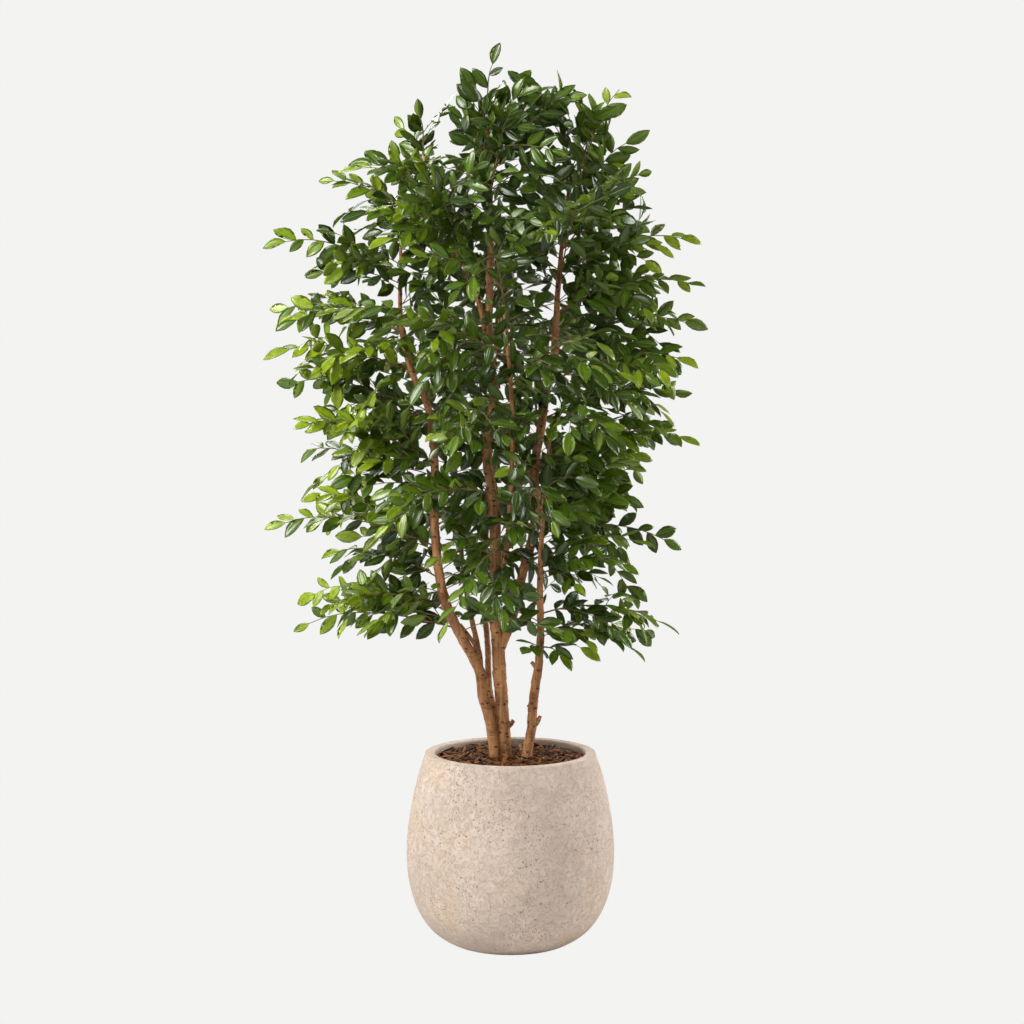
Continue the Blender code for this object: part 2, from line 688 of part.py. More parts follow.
    def mesh(self, name, seat=None):
        """The whole frond. Its root is cut parallel to the bark at a seat, a point and a normal."""
        edit = bmesh.new()
        chains = {side: self.spans(side) for side in (1, -1)}
        corners = {}
        for side, chain in chains.items():
            corners[side] = [[edit.verts.new(p) for p in self.notch(t, side)] for t, _ in chain]
        if seat:
            spot, normal = seat
            along = self.frame(0)[1]
            for vertex in corners[1][0] + corners[-1][0]:
                vertex.co += (GAP - (vertex.co - spot).dot(normal)) / along.dot(normal) * along
        necks = []
        for side in chains:
            rim = corners[side]
            for (_, leaf), a, b in zip(chains[side], rim, rim[1:]):
                if leaf:
                    necks.append((leaf, a, b))
                else:
                    edit.faces.new((a[0], b[0], b[1], a[1]))
        i = j = 0
        right, left = corners[1], corners[-1]
        while i < len(right) - 1 or j < len(left) - 1:
            ended = j == len(left) - 1
            step_right = ended or (i < len(right) - 1 and chains[1][i + 1][0] < chains[-1][j + 1][0])
            following = right[i + 1] if step_right else left[j + 1]
            for level in (0, 1):
                edit.faces.new((right[i][level], left[j][level], following[level]))
            i, j = (i + 1, j) if step_right else (i, j + 1)
        edit.faces.new((*right[0], *reversed(left[0])))
        tipped = [leaf for leaf in self.leaves if leaf[1] == 0]
        necks += [(leaf, right[-1], left[-1]) for leaf in tipped]
        if not tipped:
            edit.faces.new((*right[-1], *reversed(left[-1])))
        for (_, _, outline, poles), near, far in necks:
            rim = [edit.verts.new(p) for p in outline]
            straight = (near[0].co - rim[0].co).length + (far[0].co - rim[-1].co).length
            crossed = (near[0].co - rim[-1].co).length + (far[0].co - rim[0].co).length
            if straight > crossed:
                rim.reverse()
            for level, pole in enumerate(poles):
                middle = edit.verts.new(pole)
                ring = [near[level], *rim, far[level]]
                for p, q in zip(ring, ring[1:] + ring[:1]):
                    edit.faces.new((p, q, middle))
            edit.faces.new((near[0], near[1], rim[0]))
            edit.faces.new((far[0], far[1], rim[-1]))
        bmesh.ops.recalc_face_normals(edit, faces=edit.faces)
        mesh = bpy.data.meshes.new(name)
        edit.to_mesh(mesh)
        edit.free()
        return mesh


def main_frond(spot, normal, tip):
    """The twig of a spray, which rises from its seat and arches over, with room for its last leaf."""
    chord = (Vector(tip) - spot).normalized()
    arrive = (chord - ARRIVE_DROOP * UP).normalized()
    end = Vector(tip) - LAST_LEAF * LEAF_LENGTH * arrive
    start = spot + GAP * normal
    line = arch(start, end, chord + LEAVE_LIFT * UP + LEAVE_OUT * normal, arrive)
    return Frond(line, TWIG_RADIUS, TWIG_TIP_RADIUS)


def side_frond(parent, turn):
    """A shorter twig that leaves another one at an angle, in the plane of its leaves."""
    place, along, right, over = parent.frame(SIDE_START)
    turn = math.radians(turn)
    leave = math.cos(turn) * along + math.sin(turn) * right + SIDE_LIFT * over
    end = place + SIDE_LENGTH * parent.length * leave.normalized()
    line = arch(place, end, leave + SIDE_RISE * UP, leave - SIDE_DROOP * UP)
    return Frond(line, SIDE_RADIUS, TWIG_TIP_RADIUS)


def leaf_up(frond, spacing, first, room, owner, draw, kept_free=None):
    """Leaves on alternate sides of a twig and one at its end, none where a side twig leaves it."""
    last = 1 - END_ROOM / frond.length
    count = max(2, 1 + round(frond.length * (last - first) / spacing))
    frond.add_leaf(0.9999, 0, room, owner, draw)
    start = draw.choice((0, 1))
    for i in range(count):
        t = first + (last - first) * i / (count - 1)
        if kept_free and abs(t - kept_free) < SIDE_ROOM:
            t = kept_free + math.copysign(SIDE_ROOM, t - kept_free)
        frond.add_leaf(t, 1 if (i + start) % 2 else -1, room, owner, draw)


def make_sprays(collection, wood, room, draw):
    """Every spray: first all the main twigs, then the side twigs, then the leaves, and last the solids."""
    fronds = {}
    for name, (limb, height, tip) in SPRAYS.items():
        points, surface = wood[limb]
        seat = find_seat(points, height, tip, surface)
        frond = main_frond(*seat, tip)
        fronds[name] = [frond], seat
        room.add(*frond.rib_shape(0), name)
    for i, (name, (family, _)) in enumerate(fronds.items()):
        if SIDE_LENGTH * family[0].length < SHORTEST_SIDE:
            continue
        way = (-1) ** i
        for turn in SIDE_TURNS:
            side = side_frond(family[0], way * turn)
            if not room.crosses(*side.rib_shape(CLEARANCE), (name,)):
                room.add(*side.rib_shape(0), name)
                family.append(side)
                break
    for name, (family, seat) in fronds.items():
        leaf_up(family[0], MAIN_SPACING, FIRST_LEAF, room, name, draw, SIDE_START)
        for side in family[1:]:
            leaf_up(side, SIDE_SPACING, FIRST_SIDE_LEAF, room, name, draw)
        spray = new_object(name, family[0].mesh(name, seat), collection)
        others = [new_object(name + "_side", side.mesh(name), collection) for side in family[1:]]
        if others:
            boolean(spray, others, "UNION")
        yield spray


def build():
    clear_scene()
    draw = random.Random(SEED)
    parts = new_collection("potted_orange_jasmine")
    finish = {name: new_material(name, colour, rough) for name, (colour, rough) in COLOURS.items()}
    pot = make_pot(parts)
    soil = make_soil(parts)
    drill(soil, parts)
    mulch = make_mulch(parts, draw)
    drill(mulch, parts)
    clump, stem = make_stems(parts)
    plain = {pot: "cast_stone", soil: "soil", mulch: "mulch", clump: "bark", stem: "bark"}
    for obj, slot in plain.items():
        obj.data.materials.clear()
        obj.data.materials.append(finish[slot])

    room = Room()
    for fixed in (clump, stem, mulch, pot):
        room.add(*shape_of(fixed.data), fixed.name)
    wood = {name: (points, tree_of(clump.data)) for name, points in CLUMP.items()}
    wood["right_stem"] = (RIGHT_STEM, tree_of(stem.data))
    for spray in make_sprays(parts, wood, room, draw):
        spray.data.materials.clear()
        spray.data.materials.append(finish["leaf"])


build()
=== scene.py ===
"""Potted orange jasmine, finished: fine leaves, bark, chips and cast stone in the place of the plain solids.

It is laid out as an add-on and run as a script. Units are metres, +Z is up and the front faces -Y.
"""

import math

import bpy
import numpy as np
from bpy.props import FloatProperty, FloatVectorProperty, IntProperty, PointerProperty
from mathutils import Euler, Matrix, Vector


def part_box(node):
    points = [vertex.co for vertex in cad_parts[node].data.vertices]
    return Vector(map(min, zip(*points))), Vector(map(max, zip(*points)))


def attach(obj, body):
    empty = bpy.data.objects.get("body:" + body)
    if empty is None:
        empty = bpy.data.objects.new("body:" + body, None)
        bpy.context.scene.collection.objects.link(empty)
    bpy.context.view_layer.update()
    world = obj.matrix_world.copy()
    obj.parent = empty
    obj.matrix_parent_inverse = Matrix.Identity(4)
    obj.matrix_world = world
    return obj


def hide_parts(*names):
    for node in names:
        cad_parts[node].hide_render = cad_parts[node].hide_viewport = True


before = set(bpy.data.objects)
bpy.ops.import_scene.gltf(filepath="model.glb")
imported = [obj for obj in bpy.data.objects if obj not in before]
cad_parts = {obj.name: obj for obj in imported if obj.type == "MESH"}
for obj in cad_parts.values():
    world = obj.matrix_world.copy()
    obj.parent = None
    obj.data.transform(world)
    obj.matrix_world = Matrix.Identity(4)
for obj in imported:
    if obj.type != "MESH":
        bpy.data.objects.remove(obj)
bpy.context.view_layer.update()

bl_info = {
    "name": "Potted orange jasmine",
    "version": (1, 0, 0),
    "blender": (4, 5, 0),
    "location": "3D View > Sidebar > Jasmine",
    "description": "Finishes a potted orange jasmine with leaves, bark, mulch and cast stone",
    "category": "Object",
}

UP = np.array([0.0, 0.0, 1.0])
POT_HEIGHT = float(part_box("pot")[1][2])
POT_RADIUS = float(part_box("pot")[1][0])
STEM_FOOT = float(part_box("main_stems")[0][2])
MULCH_LOW = float(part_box("bark_mulch")[0][2])
MULCH_RADIUS = float(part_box("bark_mulch")[1][0])

# The pot's outside from the foot to the rim, as shares of its widest radius and of its height.
POT_WALL = (
    (0.47, 0.000), (0.545, 0.008), (0.660, 0.038), (0.775, 0.087), (0.895, 0.183), (0.970, 0.305),
    (1.000, 0.465), (0.985, 0.610), (0.932, 0.780), (0.862, 0.925), (0.822, 0.988),
)
RIM_WIDTH = 0.020
RIM_ROUND = 0.0035
FLOOR_THICKNESS = 0.026
MULCH_TOP = POT_HEIGHT - 0.014

# Woody limbs: x, y, z and radius along each, as in the solids that they replace.
CLUMP = {
    "trunk": (
        (-0.008, 0.000, STEM_FOOT, 0.0125), (-0.010, 0.000, 0.350, 0.0130), (-0.016, 0.000, 0.455, 0.0125),
        (-0.022, 0.002, 0.540, 0.0128), (-0.026, 0.004, 0.600, 0.0120), (-0.035, 0.006, 0.655, 0.0112),
        (-0.029, 0.006, 0.725, 0.0112), (-0.032, 0.002, 0.850, 0.0104), (-0.045, 0.000, 0.975, 0.0098),
        (-0.031, -0.005, 1.040, 0.0092), (-0.042, -0.004, 1.150, 0.0083), (-0.039, 0.000, 1.255, 0.0070),
        (-0.038, 0.004, 1.390, 0.0052), (-0.044, 0.002, 1.600, 0.0030),
    ),
    "left_limb": (
        (-0.026, -0.010, STEM_FOOT, 0.0105), (-0.030, -0.010, 0.355, 0.0108), (-0.038, -0.010, 0.427, 0.0103),
        (-0.053, -0.012, 0.483, 0.0100), (-0.058, -0.013, 0.525, 0.0098), (-0.070, -0.018, 0.552, 0.0098),
        (-0.100, -0.028, 0.609, 0.0096), (-0.119, -0.034, 0.650, 0.0095),
        (-0.133, -0.040, 0.707, 0.0090), (-0.142, -0.040, 0.800, 0.0082), (-0.146, -0.032, 0.970, 0.0070),
        (-0.160, -0.030, 1.046, 0.0065), (-0.180, -0.030, 1.084, 0.0060), (-0.200, -0.028, 1.150, 0.0050),
        (-0.206, -0.024, 1.330, 0.0030),
    ),
    "twin_limb": (
        (-0.058, -0.012, 0.525, 0.0058), (-0.066, -0.010, 0.572, 0.0040), (-0.096, -0.022, 0.618, 0.0036),
    ),
    "slim_limb": (
        (-0.057, -0.010, 0.520, 0.0066), (-0.059, -0.004, 0.550, 0.0060), (-0.066, 0.006, 0.587, 0.0054),
        (-0.079, 0.022, 0.643, 0.0050), (-0.100, 0.085, 0.800, 0.0040), (-0.112, 0.120, 1.000, 0.0030),
    ),
    "back_limb": (
        (-0.022, 0.002, 0.420, 0.0068), (-0.039, 0.018, 0.479, 0.0061), (-0.044, 0.040, 0.570, 0.0056),
        (-0.051, 0.066, 0.650, 0.0054), (-0.044, 0.110, 0.840, 0.0050), (-0.034, 0.142, 1.060, 0.0042),
        (-0.020, 0.152, 1.310, 0.0030),
    ),
    "right_limb": (
        (-0.022, 0.002, 0.560, 0.0088), (0.005, -0.002, 0.632, 0.0086), (0.018, 0.002, 0.691, 0.0085),
        (0.048, 0.012, 0.821, 0.0096), (0.045, 0.014, 0.894, 0.0088), (0.062, 0.018, 1.014, 0.0084),
        (0.069, 0.020, 1.069, 0.0086), (0.084, 0.022, 1.127, 0.0092), (0.086, 0.022, 1.175, 0.0070),
        (0.092, 0.020, 1.276, 0.0050), (0.110, 0.016, 1.440, 0.0030),
    ),
    "front_limb": (
        (-0.031, 0.004, 0.665, 0.0060), (-0.012, -0.032, 0.735, 0.0052), (0.000, -0.072, 0.855, 0.0048),
        (0.004, -0.100, 1.000, 0.0042), (-0.012, -0.124, 1.220, 0.0030),
    ),
    "upper_limb": (
        (-0.041, -0.004, 1.130, 0.0056), (-0.057, -0.008, 1.220, 0.0050), (-0.095, -0.012, 1.310, 0.0044),
        (-0.150, -0.010, 1.430, 0.0034), (-0.162, -0.010, 1.500, 0.0028),
    ),
}
RIGHT_STEM = (
    (0.024, 0.000, STEM_FOOT, 0.0095), (0.029, -0.002, 0.350, 0.0100), (0.041, -0.006, 0.421, 0.0092),
    (0.043, -0.008, 0.460, 0.0090), (0.054, -0.016, 0.540, 0.0080), (0.057, -0.020, 0.586, 0.0074),
    (0.056, -0.040, 0.686, 0.0060), (0.060, -0.085, 0.820, 0.0042), (0.074, -0.115, 0.990, 0.0030),
)
CLUMP_STUBS = (
    ((-0.014, -0.002, 0.414, 0.0058), (-0.001, -0.004, 0.422, 0.0050), (0.006, -0.005, 0.431, 0.0036)),
)
STEM_STUBS = (
    ((0.042, -0.007, 0.418, 0.0056), (0.052, -0.007, 0.429, 0.0046), (0.057, -0.007, 0.440, 0.0032)),
    ((0.053, -0.014, 0.530, 0.0048), (0.045, -0.014, 0.539, 0.0042), (0.040, -0.014, 0.545, 0.0030)),
    ((0.044, -0.008, 0.452, 0.0060), (0.039, -0.009, 0.457, 0.0048), (0.034, -0.010, 0.462, 0.0038)),
)
LIMBS = {**CLUMP, "right_stem": RIGHT_STEM}

# Leafy sprays: the limb each one grows from, the height of its seat there, and where its last leaf ends.
SPRAYS = {
    "spray_top_1": ("trunk", 1.600, (-0.016, 0.000, 1.712)),
    "spray_top_2": ("trunk", 1.500, (-0.085, -0.035, 1.655)),
    "spray_top_3": ("trunk", 1.470, (0.042, 0.050, 1.663)),
    "spray_top_4": ("right_limb", 1.440, (0.084, -0.030, 1.655)),
    "spray_left_1": ("upper_limb", 1.500, (-0.179, -0.020, 1.611)),
    "spray_left_2": ("upper_limb", 1.420, (-0.228, 0.070, 1.581)),
    "spray_left_3": ("upper_limb", 1.370, (-0.264, -0.090, 1.499)),
    "spray_left_4": ("upper_limb", 1.320, (-0.376, 0.030, 1.458)),
    "spray_left_5": ("left_limb", 1.280, (-0.460, -0.050, 1.329)),
    "spray_left_6": ("left_limb", 1.170, (-0.464, 0.060, 1.207)),
    "spray_left_7": ("left_limb", 1.100, (-0.450, -0.080, 1.125)),
    "spray_left_8": ("left_limb", 1.010, (-0.447, 0.060, 1.067)),
    "spray_left_9": ("left_limb", 0.930, (-0.409, -0.120, 0.993)),
    "spray_left_10": ("left_limb", 0.870, (-0.431, 0.050, 0.938)),
    "spray_left_11": ("left_limb", 0.770, (-0.464, -0.040, 0.799)),
    "spray_left_12": ("left_limb", 0.710, (-0.365, 0.090, 0.735)),
    "spray_left_13": ("left_limb", 0.660, (-0.343, -0.130, 0.650)),
    "spray_left_14": ("left_limb", 0.615, (-0.422, 0.000, 0.599)),
    "spray_right_1": ("right_limb", 1.410, (0.234, -0.030, 1.652)),
    "spray_right_2": ("right_limb", 1.370, (0.257, 0.070, 1.549)),
    "spray_right_3": ("right_limb", 1.330, (0.269, -0.110, 1.464)),
    "spray_right_4": ("right_limb", 1.290, (0.364, 0.030, 1.340)),
    "spray_right_5": ("right_limb", 1.210, (0.368, -0.070, 1.250)),
    "spray_right_6": ("right_limb", 1.150, (0.374, 0.060, 1.178)),
    "spray_right_7": ("right_limb", 1.080, (0.346, -0.090, 1.110)),
    "spray_right_8": ("right_limb", 1.010, (0.350, 0.060, 1.045)),
    "spray_right_9": ("right_limb", 0.930, (0.357, -0.040, 0.961)),
    "spray_right_10": ("right_limb", 0.850, (0.296, 0.110, 0.890)),
    "spray_right_11": ("right_limb", 0.790, (0.331, 0.030, 0.755)),
    "spray_right_12": ("right_stem", 0.720, (0.245, -0.120, 0.724)),
    "spray_right_13": ("right_stem", 0.640, (0.320, 0.020, 0.597)),
    "spray_right_14": ("right_stem", 0.605, (0.258, -0.060, 0.555)),
    "spray_right_15": ("right_stem", 0.575, (0.110, -0.110, 0.540)),
    "spray_front_1": ("trunk", 1.430, (0.010, -0.200, 1.570)),
    "spray_front_2": ("upper_limb", 1.270, (-0.160, -0.270, 1.440)),
    "spray_front_3": ("right_limb", 1.250, (0.130, -0.290, 1.400)),
    "spray_front_4": ("front_limb", 1.220, (-0.040, -0.360, 1.300)),
    "spray_front_5": ("front_limb", 1.120, (-0.220, -0.290, 1.180)),
    "spray_front_6": ("front_limb", 1.070, (0.150, -0.340, 1.140)),
    "spray_front_7": ("front_limb", 0.980, (-0.110, -0.370, 1.010)),
    "spray_front_8": ("right_stem", 0.990, (0.190, -0.300, 0.980)),
    "spray_front_9": ("front_limb", 0.860, (-0.220, -0.300, 0.840)),
    "spray_front_10": ("right_stem", 0.860, (0.050, -0.370, 0.860)),
    "spray_front_11": ("front_limb", 0.760, (-0.080, -0.300, 0.700)),
    "spray_back_1": ("trunk", 1.400, (-0.030, 0.210, 1.570)),
    "spray_back_2": ("upper_limb", 1.230, (-0.170, 0.270, 1.440)),
    "spray_back_3": ("back_limb", 1.310, (0.120, 0.290, 1.420)),
    "spray_back_4": ("back_limb", 1.220, (-0.060, 0.360, 1.290)),
    "spray_back_5": ("back_limb", 1.130, (0.160, 0.330, 1.170)),
    "spray_back_6": ("back_limb", 1.040, (-0.200, 0.300, 1.120)),
    "spray_back_7": ("back_limb", 0.950, (0.030, 0.370, 0.990)),
    "spray_back_8": ("slim_limb", 1.000, (-0.240, 0.280, 0.930)),
    "spray_back_9": ("back_limb", 0.820, (0.190, 0.300, 0.820)),
    "spray_back_10": ("slim_limb", 0.820, (-0.120, 0.340, 0.760)),
}

# Sprays with younger, paler leaves.
YOUNG = {
    "spray_left_7": 0.30, "spray_left_6": 0.12, "spray_left_9": 0.12, "spray_left_11": 0.12, "spray_top_1": 0.20,
    "spray_left_1": 0.15, "spray_left_2": 0.10, "spray_left_3": 0.10, "spray_top_2": 0.20, "spray_right_1": 0.15,
    "spray_right_15": 0.45, "spray_right_14": 0.25, "spray_right_13": 0.10,
}

# The crown's outline from the front: a height, and how far the leaves reach to the left and to the right there.
CROWN = (
    (0.530, 0.000, 0.140), (0.560, 0.020, 0.270), (0.585, 0.100, 0.300), (0.600, 0.430, 0.330),
    (0.640, 0.420, 0.290), (0.670, 0.390, 0.240), (0.716, 0.335, 0.245), (0.762, 0.365, 0.335),
    (0.805, 0.465, 0.320), (0.831, 0.430, 0.300), (0.877, 0.420, 0.265), (0.923, 0.360, 0.290),
    (0.965, 0.430, 0.360), (1.014, 0.410, 0.325), (1.060, 0.447, 0.355), (1.105, 0.430, 0.345),
    (1.150, 0.450, 0.370), (1.200, 0.465, 0.378), (1.263, 0.420, 0.362), (1.308, 0.420, 0.300),
    (1.340, 0.460, 0.366), (1.376, 0.385, 0.350), (1.421, 0.330, 0.310), (1.466, 0.375, 0.275),
    (1.510, 0.270, 0.240), (1.560, 0.240, 0.258), (1.600, 0.190, 0.225), (1.625, 0.146, 0.225),
    (1.650, 0.080, 0.150), (1.672, 0.055, 0.030), (1.718, 0.045, 0.012),
)
CROWN_DEPTH = 0.92
FILL_SPACING = {"right_stem": 0.013, "left_limb": 0.018, "front_limb": 0.018}

# Where bark shows between the leaves from the front: the limb, the lowest and highest place of the stretch, and
# the share of the leaves before it that are left out.
SHOWN = (
    ("trunk", 0.70, 0.90, 0.85), ("trunk", 0.90, 1.16, 0.65), ("trunk", 1.16, 1.33, 0.85), ("trunk", 1.40, 1.46, 0.7),
    ("right_limb", 0.72, 0.79, 0.8), ("right_limb", 0.83, 1.02, 0.9), ("right_limb", 1.13, 1.34, 0.9),
    ("left_limb", 0.76, 0.87, 0.5), ("left_limb", 0.40, 0.63, 1.0), ("trunk", 0.40, 0.62, 1.0),
    ("slim_limb", 0.50, 0.63, 1.0), ("back_limb", 0.40, 0.62, 1.0), ("right_limb", 0.55, 0.61, 1.0),
)
SHOWN_WIDTH = 0.018
CAMERA = np.array([0.003, -4.0, 1.11])


# Shapes

def unit(vectors):
    """Vectors divided by their lengths."""
    return vectors / np.maximum(np.linalg.norm(vectors, axis=-1, keepdims=True), 1e-12)


def through(points, count):
    """A smooth curve through points: a cubic between each two, with the slope of its neighbours' chord at each."""
    points = np.asarray(points, float)
    steps = np.linalg.norm(np.diff(points[:, :3], axis=0), axis=1)
    reach = np.concatenate([[0], np.cumsum(steps)])
    slopes = np.gradient(points, reach, axis=0)
    at = np.linspace(0, reach[-1], count)
    i = np.clip(np.searchsorted(reach, at, side="right") - 1, 0, len(points) - 2)
    span = (reach[i + 1] - reach[i])[:, None]
    t = (at - reach[i])[:, None] / span
    start = (2 * t**3 - 3 * t**2 + 1) * points[i] + (t**3 - 2 * t**2 + t) * span * slopes[i]
    return start + (3 * t**2 - 2 * t**3) * points[i + 1] + (t**3 - t**2) * span * slopes[i + 1]


def arch(start, end, leave, arrive, count):
    """A cubic Bezier curve, whose handles are a third of its span long."""
    handle = np.linalg.norm(end - start) / 3
    a, b, c, d = start, start + handle * unit(leave), end - handle * unit(arrive), end
    t = np.linspace(0, 1, count)[:, None]
    return (1 - t) ** 3 * a + 3 * t * (1 - t) ** 2 * b + 3 * t**2 * (1 - t) * c + t**3 * d


def grid_faces(rows, columns):
    """Quads between neighbouring points of a grid whose columns close up round it."""
    r, c = np.meshgrid(np.arange(rows - 1), np.arange(columns), indexing="ij")
    beside = (c + 1) % columns
    corners = (r * columns + c, r * columns + beside, (r + 1) * columns + beside, (r + 1) * columns + c)
    return np.stack(corners, axis=-1).reshape(-1, 4)


def closed_faces(rows, columns, copies):
    """The quads of a closed tube and its two end caps, for a number of copies one after another."""
    quads = grid_faces(rows, columns)
    caps = np.stack([np.arange(columns)[::-1], (rows - 1) * columns + np.arange(columns)])
    first = (np.arange(copies) * rows * columns)[:, None, None]
    return (quads + first).reshape(-1, 4).tolist() + (caps + first).reshape(-1, columns).tolist()


def per_face(values, rows, columns):
    """One value of each copy given to all its faces, in the order of closed_faces."""
    return np.concatenate([np.repeat(values, (rows - 1) * columns), np.repeat(values, 2)])


def tubes(lines, radii, sides, turn=0.0):
    """Rings round lines: point = line + radius * (cos a * n + sin a * b), n and b square to the line.

    Lines are copies x places x 3, radii copies x places, or copies x places x sides.
    """
    along = unit(np.gradient(lines, axis=1))
    mean = np.abs(along.mean(axis=1))
    across = np.eye(3)[mean.argmin(axis=1)][:, None, :]
    n = unit(np.cross(along, across))
    b = np.cross(along, n)
    angle = turn + np.linspace(0, math.tau, sides, endpoint=False)[:, None]
    ring = np.cos(angle) * n[:, :, None, :] + np.sin(angle) * b[:, :, None, :]
    radii = radii[..., None] if radii.ndim == 2 else radii
    return lines[:, :, None, :] + radii[..., None] * ring


def new_piece(name, points, faces, materials, nodes, slot, **values):
    """Puts a surface in the scene for the nodes it stands for. Values are one number a face, by attribute name."""
    mesh = bpy.data.meshes.new(name)
    mesh.from_pydata(np.asarray(points).reshape(-1, 3), [], faces)
    for attribute, numbers in values.items():
        layer = mesh.attributes.new(attribute, "FLOAT", "FACE")
        layer.data.foreach_set("value", np.asarray(numbers, np.float32))
    mesh.shade_smooth()
    for material in materials:
        mesh.materials.append(material)
    obj = bpy.data.objects.new(name, mesh)
    bpy.context.scene.collection.objects.link(obj)
    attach(obj, "root")
    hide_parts(*nodes)
    return obj


def merge_poles(mesh):
    """Joins the points that lie together, as at a pole, where a row of a grid has no width."""
    import bmesh
    edit = bmesh.new()
    edit.from_mesh(mesh)
    bmesh.ops.remove_doubles(edit, verts=edit.verts, dist=1e-6)
    edit.to_mesh(mesh)
    edit.free()


def waves(places, sizes, draw):
    """Smooth unevenness from -1 to 1: the mean of sines across the places, one for each size in metres."""
    total = 0
    for size in sizes:
        way = draw.normal(size=3)
        way *= math.tau / size / np.linalg.norm(way)
        total = total + np.sin(places @ way + draw.uniform(0, math.tau))
    return total / len(sizes)


# Materials

class Varying:
    """A number that varies over a surface. Sums with it add Math nodes to its material."""

    def __init__(self, finish, socket):
        self.finish = finish
        self.socket = socket

    def math(self, operation, *values):
        return self.finish.node("ShaderNodeMath", {"operation": operation}, dict(enumerate(values)))

    def __add__(self, other):
        return self.math("ADD", self, other)

    def __sub__(self, other):
        return self.math("SUBTRACT", self, other)

    def __rsub__(self, other):
        return self.math("SUBTRACT", other, self)

    def __mul__(self, other):
        return self.math("MULTIPLY", self, other)

    def __truediv__(self, other):
        return self.math("DIVIDE", self, other)

    def __pow__(self, other):
        return self.math("POWER", self, other)

    def __abs__(self):
        return self.math("ABSOLUTE", self)

    __radd__ = __add__
    __rmul__ = __mul__

    def between(self, low, high):
        """0 at low, 1 at high, and smooth between."""
        settings = {"interpolation_type": "SMOOTHSTEP"}
        return self.finish.node("ShaderNodeMapRange", settings, {0: self, 1: low, 2: high})


class Finish:
    """A material on one Principled shader, whose even values are set on its own sockets."""

    def __init__(self, name, **constants):
        self.material = bpy.data.materials.new(name)
        self.material.use_nodes = True
        self.tree = self.material.node_tree
        self.shader = self.tree.nodes["Principled BSDF"]
        self.set(**constants)

    def feed(self, socket, value):
        if isinstance(value, Varying):
            self.tree.links.new(value.socket, socket)
        elif socket.type == "RGBA" and len(value) == 3:
            socket.default_value = (*value, 1)
        else:
            socket.default_value = value

    def node(self, kind, settings, inputs, output=0):
        """Adds a node: its settings first, then the values or links of its sockets."""
        made = self.tree.nodes.new(kind)
        for name, value in settings.items():
            if name == "stops":
                self.set_stops(made.color_ramp, value)
            else:
                setattr(made, name, value)
        for name, value in inputs.items():
            self.feed(made.inputs[name], value)
        return Varying(self, made.outputs[output])

    def set_stops(self, ramp, stops):
        while len(ramp.elements) < len(stops):
            ramp.elements.new(1.0)
        for element, (place, colour) in zip(ramp.elements, stops):
            element.position = place
            element.color = (*colour, 1)

    def place(self, scale=(1, 1, 1)):
        """Object coordinates, stretched."""
        where = self.node("ShaderNodeTexCoord", {}, {}, "Object")
        return self.node("ShaderNodeMapping", {}, {"Vector": where, "Scale": scale})

    def noise(self, place, scale, detail=4, roughness=0.55, distortion=0.0):
        inputs = {"Vector": place, "Scale": scale, "Detail": detail, "Roughness": roughness, "Distortion": distortion}
        return self.node("ShaderNodeTexNoise", {}, inputs)

    def cells(self, place, scale, output="Distance"):
        inputs = {"Vector": place, "Scale": scale}
        return self.node("ShaderNodeTexVoronoi", {"feature": "F1"}, inputs, output)

    def attribute(self, name):
        return self.node("ShaderNodeAttribute", {"attribute_name": name}, {}, "Fac")

    def ramp(self, value, *stops):
        return self.node("ShaderNodeValToRGB", {"stops": stops}, {0: value})

    def blend(self, share, first, second, way="MIX"):
        """A colour between two, by a share."""
        settings = {"data_type": "RGBA", "blend_type": way}
        return self.node("ShaderNodeMix", settings, {0: share, 6: first, 7: second}, 2)

    def bump(self, height, depth, strength=1.0):
        inputs = {"Height": height, "Distance": depth, "Strength": strength}
        self.set(normal=self.node("ShaderNodeBump", {}, inputs))

    def let_through(self, colour, share):
        """Mixes in light that passes through thin stuff."""
        glow = self.tree.nodes.new("ShaderNodeBsdfTranslucent")
        glow.inputs["Color"].default_value = (*colour, 1)
        mix = self.tree.nodes.new("ShaderNodeMixShader")
        mix.inputs[0].default_value = share
        self.tree.links.new(self.shader.outputs[0], mix.inputs[1])
        self.tree.links.new(glow.outputs[0], mix.inputs[2])
        self.tree.links.new(mix.outputs[0], self.tree.nodes["Material Output"].inputs["Surface"])

    def set(self, **values):
        for key, value in values.items():
            name = key.replace("_", " ").title().replace("Ior", "IOR")
            self.feed(self.shader.inputs[name], value)


